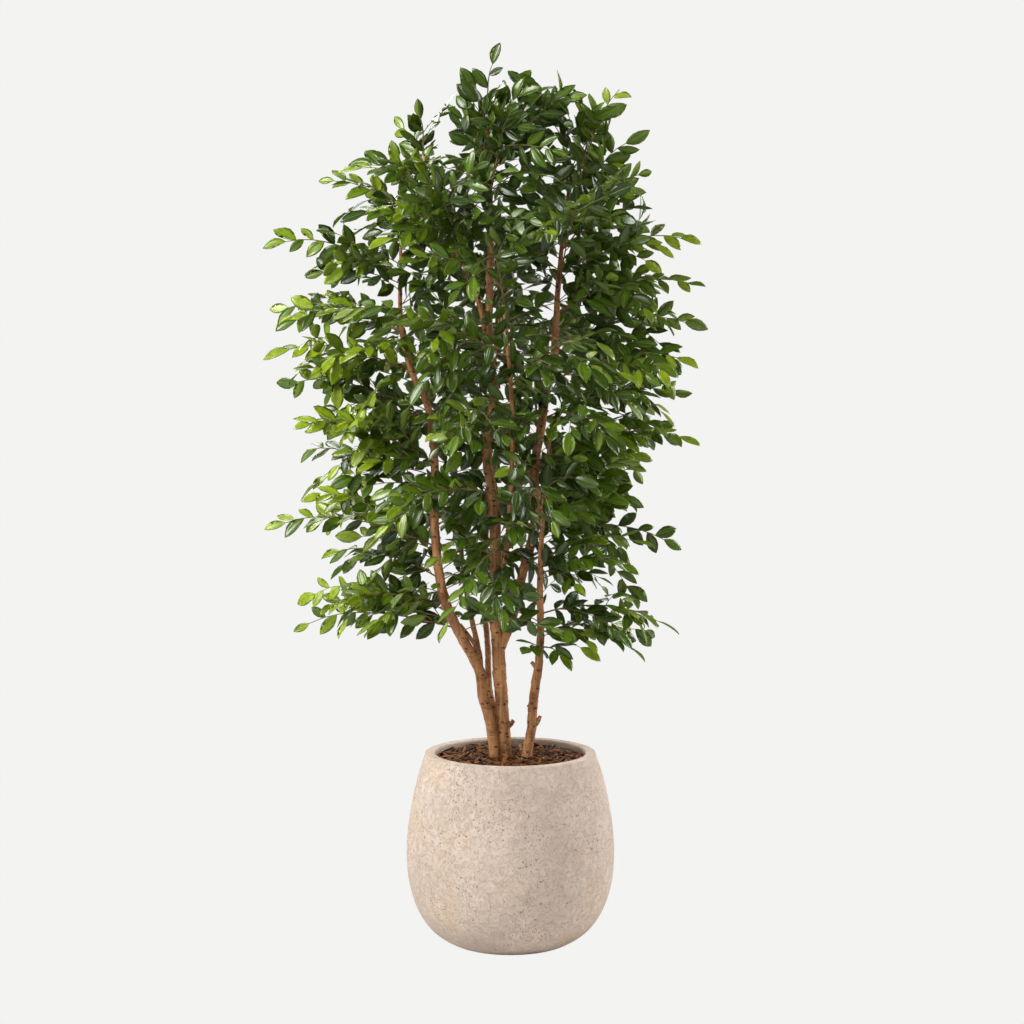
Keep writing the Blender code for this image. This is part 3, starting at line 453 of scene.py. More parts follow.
def cast_stone_finish(settings):
    """Beige stone: soft clouds, pale trowelled swirls, grooved swirls painted darker as painted shade in the grooves,
    warm patches, specks and clustered pinholes painted dark as painted shade inside them.
    """
    finish = Finish("cast_stone", roughness=0.82, specular_ior_level=0.25)
    base = np.array(settings.colour)
    place = finish.place()
    clouds = finish.noise(place, 8, 4, 0.6)
    mottle = finish.noise(place, 48, 6, 0.68, 0.8)
    swirls = finish.noise(place, 88, 2, 0.5, 1.6)
    grain = finish.noise(place, 420, 3, 0.7)
    clusters = finish.noise(place, 15, 3, 0.6)
    pits = 1 - finish.cells(finish.place((1, 1, 1.15)), 165).between(0.12, 0.26)
    large = 1 - finish.cells(place, 88).between(0.09, 0.16)
    shaded_pinholes = pits * clusters.between(0.46, 0.62)
    shaded_pinholes = shaded_pinholes.math("MAXIMUM", shaded_pinholes, large * clusters.between(0.40, 0.56))
    specks = (1 - finish.cells(finish.place((1.1, 1, 1)), 140).between(0.08, 0.2)) * (1 - clusters).between(0.42, 0.60)
    colour = finish.blend(clouds.between(0.30, 0.70), tuple(0.89 * base), tuple(1.07 * base))
    warm = finish.noise(place, 11, 4, 0.6).between(0.50, 0.70) * 0.60
    colour = finish.blend(warm, colour, tuple(base * (0.98, 0.90, 0.76)))
    colour = finish.blend(mottle.between(0.50, 0.68) * 0.70, colour, tuple(base * (0.83, 0.79, 0.74)))
    colour = finish.blend((1 - mottle).between(0.52, 0.70) * 0.60, colour, tuple(np.minimum(1, 1.28 * base)))
    veins = 1 - abs(swirls - 0.54).between(0.0, 0.045)
    colour = finish.blend(veins * 0.45, colour, tuple(np.minimum(1, 1.25 * base)))
    # Grooved swirls, painted darker as painted shade in the grooves.
    shaded_creases = 1 - abs(swirls - 0.62).between(0.0, 0.040)
    colour = finish.blend(shaded_creases * 0.32, colour, tuple(base * (0.80, 0.72, 0.62)))
    colour = finish.blend(grain.between(0.35, 0.75) * 0.22, colour, tuple(0.68 * base))
    colour = finish.blend(specks * 0.35, colour, (0.86, 0.82, 0.76))
    # Pinholes painted dark brown: painted shade inside the holes.
    colour = finish.blend(shaded_pinholes * 0.85, colour, tuple(base * (0.34, 0.27, 0.21)))
    finish.set(base_color=colour, roughness=0.72 + 0.20 * clouds)
    finish.bump(0.25 * grain + 0.7 * veins - 0.5 * shaded_creases + 0.5 * mottle - 1.6 * shaded_pinholes, 0.0014, 0.7)
    return finish.material


def soil_finish():
    finish = Finish("soil", roughness=0.95)
    crumbs = finish.noise(finish.place(), 160, 6, 0.7)
    finish.set(base_color=finish.ramp(crumbs, (0.3, (0.012, 0.008, 0.005)), (0.7, (0.075, 0.050, 0.034))))
    finish.bump(crumbs, 0.002)
    return finish.material


def mulch_finish(settings):
    """Bark chips: a colour for each chip, with lower chips and the bed between them painted darker as painted shade,
    fibres along the grain and a shine on their worn faces.
    """
    finish = Finish("mulch", roughness=0.6, specular_ior_level=0.12)
    fibres = finish.noise(finish.place((1, 1, 1.6)), 480, 4, 0.7)
    tone = finish.attribute("tone")
    dark = tuple(settings.dark_colour)
    light = tuple(settings.light_colour)
    colour = finish.blend(tone, dark, light)
    colour = finish.blend(fibres.between(0.42, 0.70) * 0.45, colour, tuple(c * 0.35 for c in dark))
    finish.set(base_color=colour, roughness=0.34 + 0.40 * fibres)
    finish.bump(fibres, 0.0012, 0.8)
    return finish.material


def bark_finish(settings):
    """Smooth tan bark: upright streaks, paler and redder patches, dark lenticel dots and short level marks."""
    finish = Finish("bark", roughness=0.6, specular_ior_level=0.3)
    base = np.array(settings.colour)
    place = finish.place()
    streaks = finish.noise(finish.place((1, 1, 0.12)), 190, 5, 0.65)
    patches = finish.noise(finish.place((1, 1, 0.5)), 30, 4, 0.6)
    sparse = finish.noise(place, 42, 2, 0.5)
    dots = 1 - finish.cells(finish.place((0.8, 0.8, 1.3)), 74).between(0.16, 0.26)
    small = 1 - finish.cells(finish.place((1, 1, 1.5)), 150).between(0.14, 0.26)
    level = 1 - abs(finish.noise(finish.place((0.2, 0.2, 1)), 110, 3, 0.6) - 0.5).between(0.0, 0.03)
    marks = finish.node("ShaderNodeMath", {"operation": "MAXIMUM"}, {0: dots, 1: 0.8 * small * sparse.between(0.42, 0.52)})
    marks = marks.math("MAXIMUM", marks, 0.7 * level * sparse.between(0.50, 0.60))
    colour = finish.blend(streaks.between(0.34, 0.66), tuple(0.62 * base), tuple(1.22 * base))
    colour = finish.blend(patches.between(0.50, 0.66) * 0.65, colour, tuple(base * (1.55, 1.65, 1.75)))
    colour = finish.blend((1 - patches).between(0.52, 0.68) * 0.65, colour, tuple(base * (0.50, 0.38, 0.30)))
    colour = finish.blend(marks * 0.85, colour, tuple(base * (0.18, 0.12, 0.10)))
    torn = finish.attribute("torn")
    colour = finish.blend(torn * 0.8, colour, tuple(base * (0.45, 0.36, 0.30)))
    finish.set(base_color=colour, roughness=0.50 + 0.25 * streaks)
    finish.bump(0.6 * streaks + 0.9 * patches - 1.2 * marks, 0.0012, 0.8)
    return finish.material


def leaf_finish(settings):
    """Glossy leaf: a colour for each leaf by its age, with painted shade deep in the crown and painted light at its
    outside and on its left, a paler midrib, faint side veins and a dull, paler underside.
    """
    finish = Finish("leaf", roughness=0.34, specular_ior_level=0.6)
    where = finish.node("ShaderNodeUVMap", {"uv_map": "blade"}, {})
    along = finish.node("ShaderNodeSeparateXYZ", {}, {0: where}, 0)
    across = finish.node("ShaderNodeSeparateXYZ", {}, {0: where}, 1)
    off = abs(across - 0.5) * 2
    tone = finish.attribute("tone")
    under = finish.attribute("under")
    dark, middle, light = (tuple(c) for c in (settings.dark_colour, settings.colour, settings.young_colour))
    colour = finish.ramp(tone, (0.0, dark), (0.5, middle), (1.0, light))
    rib = 1 - off.between(0.01, 0.07)
    slant = (along + 0.22 * off) * 9
    veins = 1 - abs(slant.math("FRACT", slant) - 0.5).between(0.02, 0.16)
    patches = finish.noise(finish.place(), 70, 3, 0.6)
    colour = finish.blend(patches.between(0.35, 0.70) * 0.40, colour, dark)
    colour = finish.blend(rib * 0.30, colour, tuple(min(1, 1.4 * c + 0.02) for c in light))
    colour = finish.blend(veins * off.between(0.05, 0.2) * 0.06, colour, light)
    colour = finish.blend(under * 0.45, colour, tuple(settings.under_colour))
    finish.set(base_color=colour, roughness=0.22 + 0.30 * under + 0.14 * patches)
    finish.bump(0.6 * rib + 0.6 * patches, 0.0006, 0.5)
    finish.let_through(settings.glow_colour, settings.glow)
    return finish.material


def twig_finish(settings):
    """Thin twigs, green towards their tips and brown where they leave the bark."""
    finish = Finish("twig", roughness=0.55)
    age = finish.attribute("tone")
    colour = finish.blend(age, tuple(settings.twig_colour), tuple(settings.old_twig_colour))
    finish.set(base_color=colour)
    return finish.material


# Settings

def size(name, text, value, **limits):
    return FloatProperty(name=name, description=text, default=value, subtype="DISTANCE", unit="LENGTH", precision=4, **limits)


def paint(name, text, value):
    return FloatVectorProperty(name=name, description=text, default=value, subtype="COLOR", min=0, max=1)


class PotSettings(bpy.types.PropertyGroup):
    colour: paint("Stone", "Colour of the cast stone", (0.560, 0.455, 0.378))
    rim: size("Rim width", "Width of the flat rim", RIM_WIDTH, min=0.005, max=0.05)
    steps: IntProperty(name="Steps", description="Faces round the pot", default=160, min=24, max=512)


class MulchSettings(bpy.types.PropertyGroup):
    # The dark chip colour also paints the lower chips and the bed between the chips, as painted shade.
    dark_colour: paint("Dark chips", "Colour of the darkest chips", (0.014, 0.006, 0.002))
    light_colour: paint("Light chips", "Colour of the lightest chips", (0.400, 0.150, 0.042))
    length: size("Chip length", "Mean length of a chip", 0.032, min=0.005, max=0.05)
    count: IntProperty(name="Chips", description="How many chips lie on the soil", default=1500, min=0, max=4000)


class StemSettings(bpy.types.PropertyGroup):
    colour: paint("Bark", "Colour of the bark", (0.380, 0.174, 0.068))
    uneven: size("Unevenness", "How far the bark bulges", 0.0008, min=0, max=0.004)


class LeafSettings(bpy.types.PropertyGroup):
    # Besides age, the leaf colours also carry painted shade deep in the crown and painted light at its outside and on
    # its left.
    colour: paint("Leaf", "Colour of a grown leaf", (0.078, 0.152, 0.004))
    dark_colour: paint("Old leaf", "Colour of an old leaf", (0.006, 0.021, 0.001))
    young_colour: paint("Young leaf", "Colour of a young leaf", (0.330, 0.450, 0.016))
    under_colour: paint("Underside", "Colour of the underside", (0.150, 0.215, 0.030))
    glow_colour: paint("Glow", "Colour of the light that comes through a leaf", (0.480, 0.600, 0.035))
    glow: FloatProperty(name="Glow share", description="Share of light through a leaf", default=0.18, min=0, max=1)
    twig_colour: paint("Twig", "Colour of a young twig", (0.140, 0.150, 0.040))
    old_twig_colour: paint("Old twig", "Colour of an old twig", (0.230, 0.115, 0.055))
    length: size("Leaf length", "Mean length of a leaf", 0.047, min=0.01, max=0.1)
    width: size("Leaf width", "Mean width of a leaf", 0.0236, min=0.005, max=0.06)
    spacing: size("Leaf spacing", "Distance between leaves along a twig", 0.0180, min=0.01, max=0.06)
    seed: IntProperty(name="Seed", description="Seed of the random draws", default=5, min=0)


class StageSettings(bpy.types.PropertyGroup):
    backdrop: paint("Backdrop", "Colour of the backdrop", (0.896, 0.896, 0.880))
    key: FloatProperty(name="Key light", description="Power of the large soft light", default=205, min=0, subtype="POWER")
    fill: FloatProperty(name="Fill", description="Strength of the light from all round", default=0.17, min=0, max=5)


# Pieces

def wall_radius(height, inset):
    """Radius of the pot's outside at a height, less an inset."""
    shares = np.array(POT_WALL)
    return np.interp(height / POT_HEIGHT, shares[:, 1], shares[:, 0]) * POT_RADIUS - inset


def pot_outline(rim):
    """The pot's section, from the middle of its foot up the outside, over the rim and down to its floor."""
    wall = through(np.array(POT_WALL) * (POT_RADIUS, POT_HEIGHT), 72)
    outer = wall[-1, 0]
    turn = np.linspace(0, math.pi / 2, 7)[:, None]
    quarter = RIM_ROUND * np.hstack([np.cos(turn), np.sin(turn)])
    over = (outer - RIM_ROUND, POT_HEIGHT - RIM_ROUND) + quarter
    back = (outer - rim + RIM_ROUND, POT_HEIGHT - RIM_ROUND) + quarter[::-1] * (-1, 1)
    flat = np.linspace(over[-1], back[0], 5)[1:-1]
    heights = np.linspace(POT_HEIGHT - 2 * RIM_ROUND, FLOOR_THICKNESS, 24)
    inside = np.stack([wall_radius(heights, rim), heights], axis=-1)
    foot = np.linspace((0, 0), wall[0], 6)[:-1]
    floor = np.linspace(inside[-1], (0, FLOOR_THICKNESS), 6)[1:]
    return np.vstack([foot, wall, over[1:], flat, back, inside, floor])


def make_pot(settings):
    """The outline carried round the Z axis, and let in and out by a fraction of a millimetre as a cast is."""
    outline = pot_outline(settings.rim)
    angle = np.linspace(0, math.tau, settings.steps, endpoint=False)
    radius, height = outline[:, :1], outline[:, 1:]
    points = np.stack([radius * np.cos(angle), radius * np.sin(angle), height + 0 * angle], axis=-1)
    draw = np.random.default_rng(3)
    swell = 0.0004 * waves(points, (0.31, 0.17, 0.12, 0.08), draw) * (radius > 0.05) - 0.0004
    points[..., :2] *= 1 + (swell / np.maximum(radius, 0.02))[..., None] * (radius > 0.05)[..., None]
    faces = grid_faces(*points.shape[:2]).tolist()
    obj = new_piece("pot_finish", points, faces, [cast_stone_finish(settings)], ["pot"], "cast_stone")
    merge_poles(obj.data)
    return obj


def chip_shapes(count, length, draw):
    """Chips lying along X: half width = w sqrt(1 - |s|^p), half thickness likewise, on six-sided rings."""
    share = np.array([-1, -0.72, 0, 0.68, 1])
    angle = np.linspace(0, math.tau, 6, endpoint=False) + 0.35
    long = length * draw.uniform(0.45, 1.5, (count, 1, 1)) / 2
    wide = draw.uniform(0.0014, 0.0034, (count, 1, 1))
    thick = draw.uniform(0.0009, 0.0020, (count, 1, 1))
    taper = (1 - np.abs(share) ** draw.uniform(3, 9, (count, 1))) ** 0.5 * 0.92 + 0.22
    taper = (taper * draw.uniform(0.8, 1.15, (count, 5)))[..., None]
    bend = draw.uniform(-0.10, 0.10, (count, 1, 1))
    x = long * share[:, None] * draw.uniform(0.9, 1.1, (count, 5, 6))
    y = wide * taper * np.cos(angle) + bend * long * share[:, None] ** 2
    z = thick * taper * np.sin(angle) * draw.uniform(0.75, 1.25, (count, 5, 6))
    return np.stack([x, y, z], axis=-1)


def turns(z, y, x):
    """Rotation matrices that tilt about X, then Y, then turn about Z."""
    zero, one = np.zeros_like(z), np.ones_like(z)
    about_z = np.array([[np.cos(z), -np.sin(z), zero], [np.sin(z), np.cos(z), zero], [zero, zero, one]])
    about_y = np.array([[np.cos(y), zero, np.sin(y)], [zero, one, zero], [-np.sin(y), zero, np.cos(y)]])
    about_x = np.array([[one, zero, zero], [zero, np.cos(x), -np.sin(x)], [zero, np.sin(x), np.cos(x)]])
    return np.einsum("ijn,jkn,kln->nil", about_z, about_y, about_x)


def make_mulch(settings):
    """A rough bed, z = top + waves, closed below, and loose chips that lie on it at drawn angles."""
    draw = np.random.default_rng(11)
    radius = np.concatenate([np.linspace(0, MULCH_RADIUS - 0.001, 34), [MULCH_RADIUS - 0.001, 0]])[:, None]
    angle = np.linspace(0, math.tau, 72, endpoint=False)
    bed = np.stack([radius * np.cos(angle), radius * np.sin(angle), 0 * radius + 0 * angle], axis=-1)
    bed[..., 2] = MULCH_TOP - 0.005 + 0.002 * waves(bed, (0.05, 0.03, 0.021, 0.013), draw)
    bed[-2:, :, 2] = MULCH_LOW
    bed_faces = grid_faces(*bed.shape[:2])

    count = settings.count
    far = (MULCH_RADIUS - 0.004) * np.sqrt(draw.uniform(0, 1, count))
    around = draw.uniform(0, math.tau, count)
    middle = np.stack([far * np.cos(around), far * np.sin(around), np.zeros(count)], axis=-1)
    layer = draw.uniform(0, 1, count)
    middle[:, 2] = MULCH_TOP - 0.005 + 0.0085 * layer + 0.002 * waves(middle, (0.06, 0.04), draw)
    edge = np.clip((far - 0.120) / 0.02, 0, 1)
    turn = draw.uniform(0, math.tau, count)
    turn = turn + edge * (around + math.pi / 2 + draw.normal(0, 0.25, count) - turn)
    tilt = draw.normal(0, 0.24, (2, count)) * (1 - 0.6 * edge)
    chips = chip_shapes(count, settings.length, draw)
    chips = np.einsum("nij,nabj->nabi", turns(turn, *tilt), chips) + middle[:, None, None, :]
    feet = np.array([limb[1][:2] for limb in (LIMBS["trunk"], LIMBS["left_limb"], RIGHT_STEM)])
    clear = np.linalg.norm(middle[:, None, :2] - feet, axis=-1).min(axis=1) > 0.011
    inside = np.linalg.norm(chips[..., :2], axis=-1).max(axis=(1, 2)) < wall_radius(MULCH_TOP, RIM_WIDTH) - 0.0008
    kept = chips[clear & inside]
    # Chips lower in the pile are made darker: painted shade under the chips above them.
    tone = draw.beta(0.9, 1.8, len(kept)) * (0.45 + 0.55 * layer[clear & inside])
    chip_faces = closed_faces(5, 6, len(kept))
    shift = bed.shape[0] * bed.shape[1]
    faces = bed_faces.tolist() + [[corner + shift for corner in face] for face in chip_faces]
    # The bed under the chips gets almost the darkest chip colour: painted shade between the chips.
    tones_and_shade = np.concatenate([np.full(len(bed_faces), 0.05), per_face(tone, 5, 6)])
    points = np.concatenate([bed.reshape(-1, 3), kept.reshape(-1, 3)])
    obj = new_piece("bark_mulch_finish", points, faces, [mulch_finish(settings)], ["bark_mulch"], "mulch", tone=tones_and_shade)
    obj.data.shade_flat()
    merge_poles(obj.data)
    return obj


LIMB_SIDES = 20


def limb_surface(points, uneven, draw, torn_end=False):
    """A limb as rings of points: the radius along it, with broad bulges, low knots and, on a stub, a torn end."""
    length = sum(math.dist(a[:3], b[:3]) for a, b in zip(points, points[1:]))
    rows = max(12, int(length / 0.006))
    curve = through(points, rows)
    line, radius = curve[:, :3], np.maximum(curve[:, 3], 0.0015)
    rings = tubes(line[None], radius[None], LIMB_SIDES)[0]
    bulge = uneven * (waves(rings, (0.031, 0.023, 0.017), draw) + 0.6 * waves(rings, (0.011, 0.008), draw))
    bulge = bulge * np.clip(radius / 0.010, 0.25, 1)[:, None]
    share = np.linspace(0, 1, rows)
    for place in draw.uniform(0.06, 0.94, int(length / 0.075)):
        side = draw.uniform(0, math.tau)
        near = np.exp(-(((share - place) * length / 0.006) ** 2))[:, None]
        facing = np.exp(-(np.sin((np.linspace(0, math.tau, LIMB_SIDES, endpoint=False) - side) / 2) / 0.35) ** 2)
        bulge = bulge + 0.14 * radius[:, None] * near * facing
    if torn_end:
        ragged = draw.uniform(-0.0014, 0.0014, (rows, LIMB_SIDES)) * (share[:, None] > 0.93)
        bulge = bulge + ragged
    return tubes(line[None], (radius[:, None] + bulge)[None], LIMB_SIDES)[0]


def make_stems(settings):
    """The fused clump and the separate stem, each of limbs that start inside the one they grow from."""
    material = bark_finish(settings)
    made = []
    for name, limbs, stubs in (
        ("main_stems", CLUMP.values(), CLUMP_STUBS),
        ("right_stem", [RIGHT_STEM], STEM_STUBS),
    ):
        draw = np.random.default_rng(len(name))
        points, faces, torn = [], [], []
        shift = 0
        for limb, is_stub in [(limb, 0) for limb in limbs] + [(stub, 1) for stub in stubs]:
            surface = limb_surface(limb, settings.uneven, draw, bool(is_stub))
            rows = surface.shape[0]
            faces += [[corner + shift for corner in face] for face in closed_faces(rows, LIMB_SIDES, 1)]
            late = np.repeat(np.arange(rows - 1) > 0.8 * rows, LIMB_SIDES) * is_stub
            torn += [*late, 0, is_stub]
            points.append(surface.reshape(-1, 3))
            shift += surface.size // 3
        points = np.concatenate(points)
        made.append(new_piece(name + "_finish", points, faces, [material], [name], "bark", torn=torn))
    return made


# The blade's grid: seven places along it, and a ring of five points over it and one under it.
BLADE_ALONG = np.array([0.0, 0.08, 0.22, 0.43, 0.66, 0.86, 1.0])
BLADE_ACROSS = np.array([-1, -0.5, 0, 0.5, 1, 0])
BLADE_LAYER = np.array([0, 1, 1, 1, 0, -1])
BLADE_THICKNESS = 0.0007
UPPER_FACES = 4
TWIG_PLACES = 10
TWIG_SIDES = 4


def blades(root, forward, over, length, width, fold, droop, wave):
    """Leaves as closed rings of points, from arrays with one entry a leaf.

    Along it u runs from 0 to 1 and across it v from -1 to 1. The half width is h = width / 2 *
    sin(pi u^1.03)^0.76, at least that of the stalk. Then x = length u, y = v h, and
    z = fold |y| - droop length u^2 + wave v^2 sin(7 u + phase), more or less half the thickness.
    """
    u = BLADE_ALONG[:, None]
    half = np.maximum(np.sin(math.pi * u**1.03), 0) ** 0.76
    half = np.maximum(half * width[:, None, None] / 2, 0.0006)
    x = length[:, None, None] * u + 0 * BLADE_ACROSS
    y = half * BLADE_ACROSS
    ripple = wave[:, None, None] * BLADE_ACROSS**2 * np.sin(7 * u + 600 * root[:, :1, None])
    rise = fold[:, None, None] * np.abs(y) - droop[:, None, None] * length[:, None, None] * u**2
    z = rise + ripple + BLADE_LAYER * BLADE_THICKNESS / 2 * (1 - 0.6 * u)
    side = unit(np.cross(over, forward))
    over = np.cross(forward, side)
    axes = (forward[:, None, None, :], side[:, None, None, :], over[:, None, None, :])
    return root[:, None, None, :] + x[..., None] * axes[0] + y[..., None] * axes[1] + z[..., None] * axes[2]


def at_share(line, share):
    """Places and directions at shares of the way along a line of evenly spaced points."""
    far = np.clip(share, 0, 0.9999) * (len(line) - 1)
    i = far.astype(int)
    place = line[i] + (far - i)[:, None] * (line[i + 1] - line[i])
    return place, unit(line[np.minimum(i + 1, len(line) - 1)] - line[np.maximum(i - 1, 0)])


def on_limb(limb, height):
    """The centre and radius of a limb at a height, and its direction there."""
    points = np.array(limb)
    i = int(np.clip(np.searchsorted(points[:, 2], height) - 1, 0, len(points) - 2))
    share = min(1, (height - points[i, 2]) / (points[i + 1, 2] - points[i, 2]))
    return points[i] + share * (points[i + 1] - points[i]), unit(points[i + 1, :3] - points[i, :3])


def square_to(vector, along):
    """The part of a vector that is square to a direction, made a unit long."""
    return unit(vector - np.sum(vector * along, axis=-1, keepdims=True) * along)


class Spray:
    """The twigs of one spray and the leaves on them, collected as arrays."""

    def __init__(self, name, settings, draw):
        limb, height, tip = SPRAYS[name]
        self.name = name
        self.draw = draw
        self.settings = settings
        self.lines = []
        self.widths = []
        self.leaves = []
        centre, along = on_limb(LIMBS[limb], height)
        tip = np.array(tip)
        chord = unit(tip - centre[:3])
        away = along if height >= LIMBS[limb][-1][2] else square_to(chord, along)
        arrive = unit(chord - 0.45 * UP)
        start = centre[:3] + 0.5 * centre[3] * away
        end = tip - 0.9 * settings.length * arrive
        main = arch(start, end, chord + 0.6 * UP + 0.5 * away, arrive, TWIG_PLACES)
        self.add_twig(main, 0.0017, 0.12)
        self.add_side_twigs(main)
        self.fill_limb(limb, height)

    def facing(self, place):
        """Which way leaves at a place turn: up, out of the crown and to its front or back, with some chance."""
        outward = unit(place * (1, 1, 0) + (0, 0, 1e-6))
        half = np.array([0.0, 1.0 if place[1] > 0.03 else -1.0, 0.0])
        far = min(1.0, math.hypot(place[0], place[1]) / 0.15)
        return unit(0.50 * UP + 0.45 * far * outward + 0.55 * half + (0.16 + 0.20 * far) * self.draw.normal(size=3))

    def add_twig(self, line, width, first):
        """A twig with leaves on alternate sides, from a share of its length to its tip."""
        self.lines.append(line)
        self.widths.append(width)
        draw, settings = self.draw, self.settings
        length = np.linalg.norm(np.diff(line, axis=0), axis=1).sum()
        count = max(3, int(length * (1 - first) / settings.spacing) + 1)
        share = np.linspace(first, 1, count)
        share[:-1] += draw.normal(0, 0.1, count - 1) / count
        place, along = at_share(line, share)
        plane = self.facing(line[len(line) // 2])
        over = square_to(plane, along)
        across = np.cross(along, over)
        side = np.where((np.arange(count) + draw.integers(2)) % 2, 1.0, -1.0)
        spread = np.radians(draw.uniform(40, 60, count)) * (1 - 0.22 * share)
        spread[-1] = math.radians(draw.uniform(-8, 8))
        lift = draw.uniform(-0.16, 0.16, count)
        forward = np.cos(spread)[:, None] * along + (side * np.sin(spread))[:, None] * across + lift[:, None] * over
        forward = unit(forward - draw.uniform(0.0, 0.18, count)[:, None] * UP)
        roll = np.radians(draw.normal(0, 13, count))[:, None]
        face = over * np.cos(roll) + np.cross(over, forward) * np.sin(roll)
        age = 0.22 + 0.46 * share + draw.normal(0, 0.20, count) + draw.normal(0, 0.17) + YOUNG.get(self.name, 0)
        grown = draw.uniform(0.66, 1.14, count)
        self.leaves.append(np.column_stack([place, forward, face, grown, age]))

    def add_side_twig(self, start, leave, length, fall):
        """A twig that leaves one way, sweeps over and hangs at its end. It is shortened to stay in the crown."""
        leave = unit(leave)
        fall = fall * np.interp(start[2], (1.15, 1.55), (1.0, 0.25))
        margin = -0.070 * self.draw.beta(1.0, 1.5)
        for shorter in (1, 0.8, 0.6, 0.45):
            end = start + shorter * length * unit(leave - 0.35 * fall * UP)
            if in_crown(end + self.settings.length * unit(leave - fall * UP), margin):
                line = arch(start, end, leave + 0.15 * UP, leave - fall * UP, TWIG_PLACES)
                self.add_twig(line, 0.0011, 0.15)
                return

    def add_side_twigs(self, main):
        """Side twigs that spread round the main one, sweep outwards and droop."""
        draw = self.draw
        reach = np.linalg.norm(np.diff(main, axis=0), axis=1).sum()
        count = max(6, round(reach / 0.0235))
        share = np.linspace(0.06, 0.76, count)
        place, along = at_share(main, share)
        over = square_to(UP + 0.001, along)
        across = np.cross(along, over)
        side = np.where((np.arange(count) + draw.integers(2)) % 2, 1.0, -1.0)
        for i in range(count):
            turn, roll = math.radians(draw.uniform(24, 62)), math.radians(draw.uniform(-65, 60))
            round_it = side[i] * math.cos(roll) * across[i] + math.sin(roll) * over[i]
            leave = math.cos(turn) * along[i] + math.sin(turn) * round_it
            length = draw.uniform(0.090, 0.205) * (1.15 - 0.50 * share[i])
            self.add_side_twig(place[i], leave, length, draw.uniform(0.4, 1.1))

    def fill_limb(self, limb, height):
        """Short twigs that stand round the limb itself, on the stretch that is nearer to this spray than to others."""
        draw = self.draw
        seats = sorted(seat for owner, seat, tip in SPRAYS.values() if owner == limb)
        i = seats.index(height)
        low = (height + seats[i - 1]) / 2 if i else height - 0.03
        high = (height + seats[i + 1]) / 2 if i + 1 < len(seats) else max(height, LIMBS[limb][-1][2])
        for place in np.arange(low, high, FILL_SPACING.get(limb, 0.024)):
            centre, along = on_limb(LIMBS[limb], place)
            turn = draw.uniform(0, math.tau)
            leave = unit(np.array([math.cos(turn), math.sin(turn), 0]) + centre[:3] * (0.8, 0.8, 0) + 0.4 * UP)
            self.add_side_twig(centre[:3], leave, draw.uniform(0.10, 0.20), draw.uniform(0.4, 1.0))


def in_crown(points, margin):
    """Whether points lie in the crown. Level sections are ellipses with the outline's reach and CROWN_DEPTH of it."""
    heights, left, right = np.array(CROWN).T
    x, y, z = np.moveaxis(np.asarray(points), -1, 0)
    left, right = np.interp(z, heights, left), np.interp(z, heights, right)
    reach = np.where(x < 0, left, right) + margin
    deep = CROWN_DEPTH * (left + right) / 2 + margin
    return ((x / reach) ** 2 + (y / deep) ** 2 < 1) & (z > heights[0] - margin) & (z < heights[-1] + margin)


def keep_off(leaves, length, wood, draw):
    """Which leaves stay in the crown, clear of the bark and off the stretches of bark that show between leaves."""
    tips = leaves[:, :3] + leaves[:, 3:6] * (leaves[:, 9:10] * length)
    middles = (leaves[:, :3] + tips) / 2
    kept = in_crown(tips, 0.040)
    for spots in (middles, tips):
        gap = np.linalg.norm(spots[:, None, :] - wood[None, :, :3], axis=-1) - wood[None, :, 3]
        kept &= gap.min(axis=1) > 0.004
    chance = draw.uniform(0, 1, len(leaves))
    for limb, low, high, share in SHOWN:
        points = np.array(LIMBS[limb])
        bark_y = np.interp(middles[:, 2], points[:, 2], points[:, 1])
        seen = CAMERA + (middles - CAMERA) * ((bark_y - CAMERA[1]) / (middles[:, 1] - CAMERA[1]))[:, None]
        aside = np.abs(seen[:, 0] - np.interp(seen[:, 2], points[:, 2], points[:, 0]))
        before = (middles[:, 1] < bark_y) & (aside < SHOWN_WIDTH) & (seen[:, 2] > low) & (seen[:, 2] < high)
        kept &= ~(before & (chance < share))
    return kept


def set_blade_map(mesh, copies, start_face):
    """A UV map whose U runs along each blade and V across it."""
    uv = mesh.uv_layers.new(name="blade")
    corner_vertex = np.empty(len(mesh.loops), int)
    mesh.loops.foreach_get("vertex_index", corner_vertex)
    ring = len(BLADE_ACROSS)
    blade_points = copies * len(BLADE_ALONG) * ring
    spot = np.arange(len(mesh.vertices)) % (len(BLADE_ALONG) * ring)
    flat = np.stack([BLADE_ALONG[spot // ring], BLADE_ACROSS[spot % ring] / 2 + 0.5], axis=-1)
    flat[blade_points:] = 0.5
    uv.data.foreach_set("uv", flat[corner_vertex].astype(np.float32).ravel())


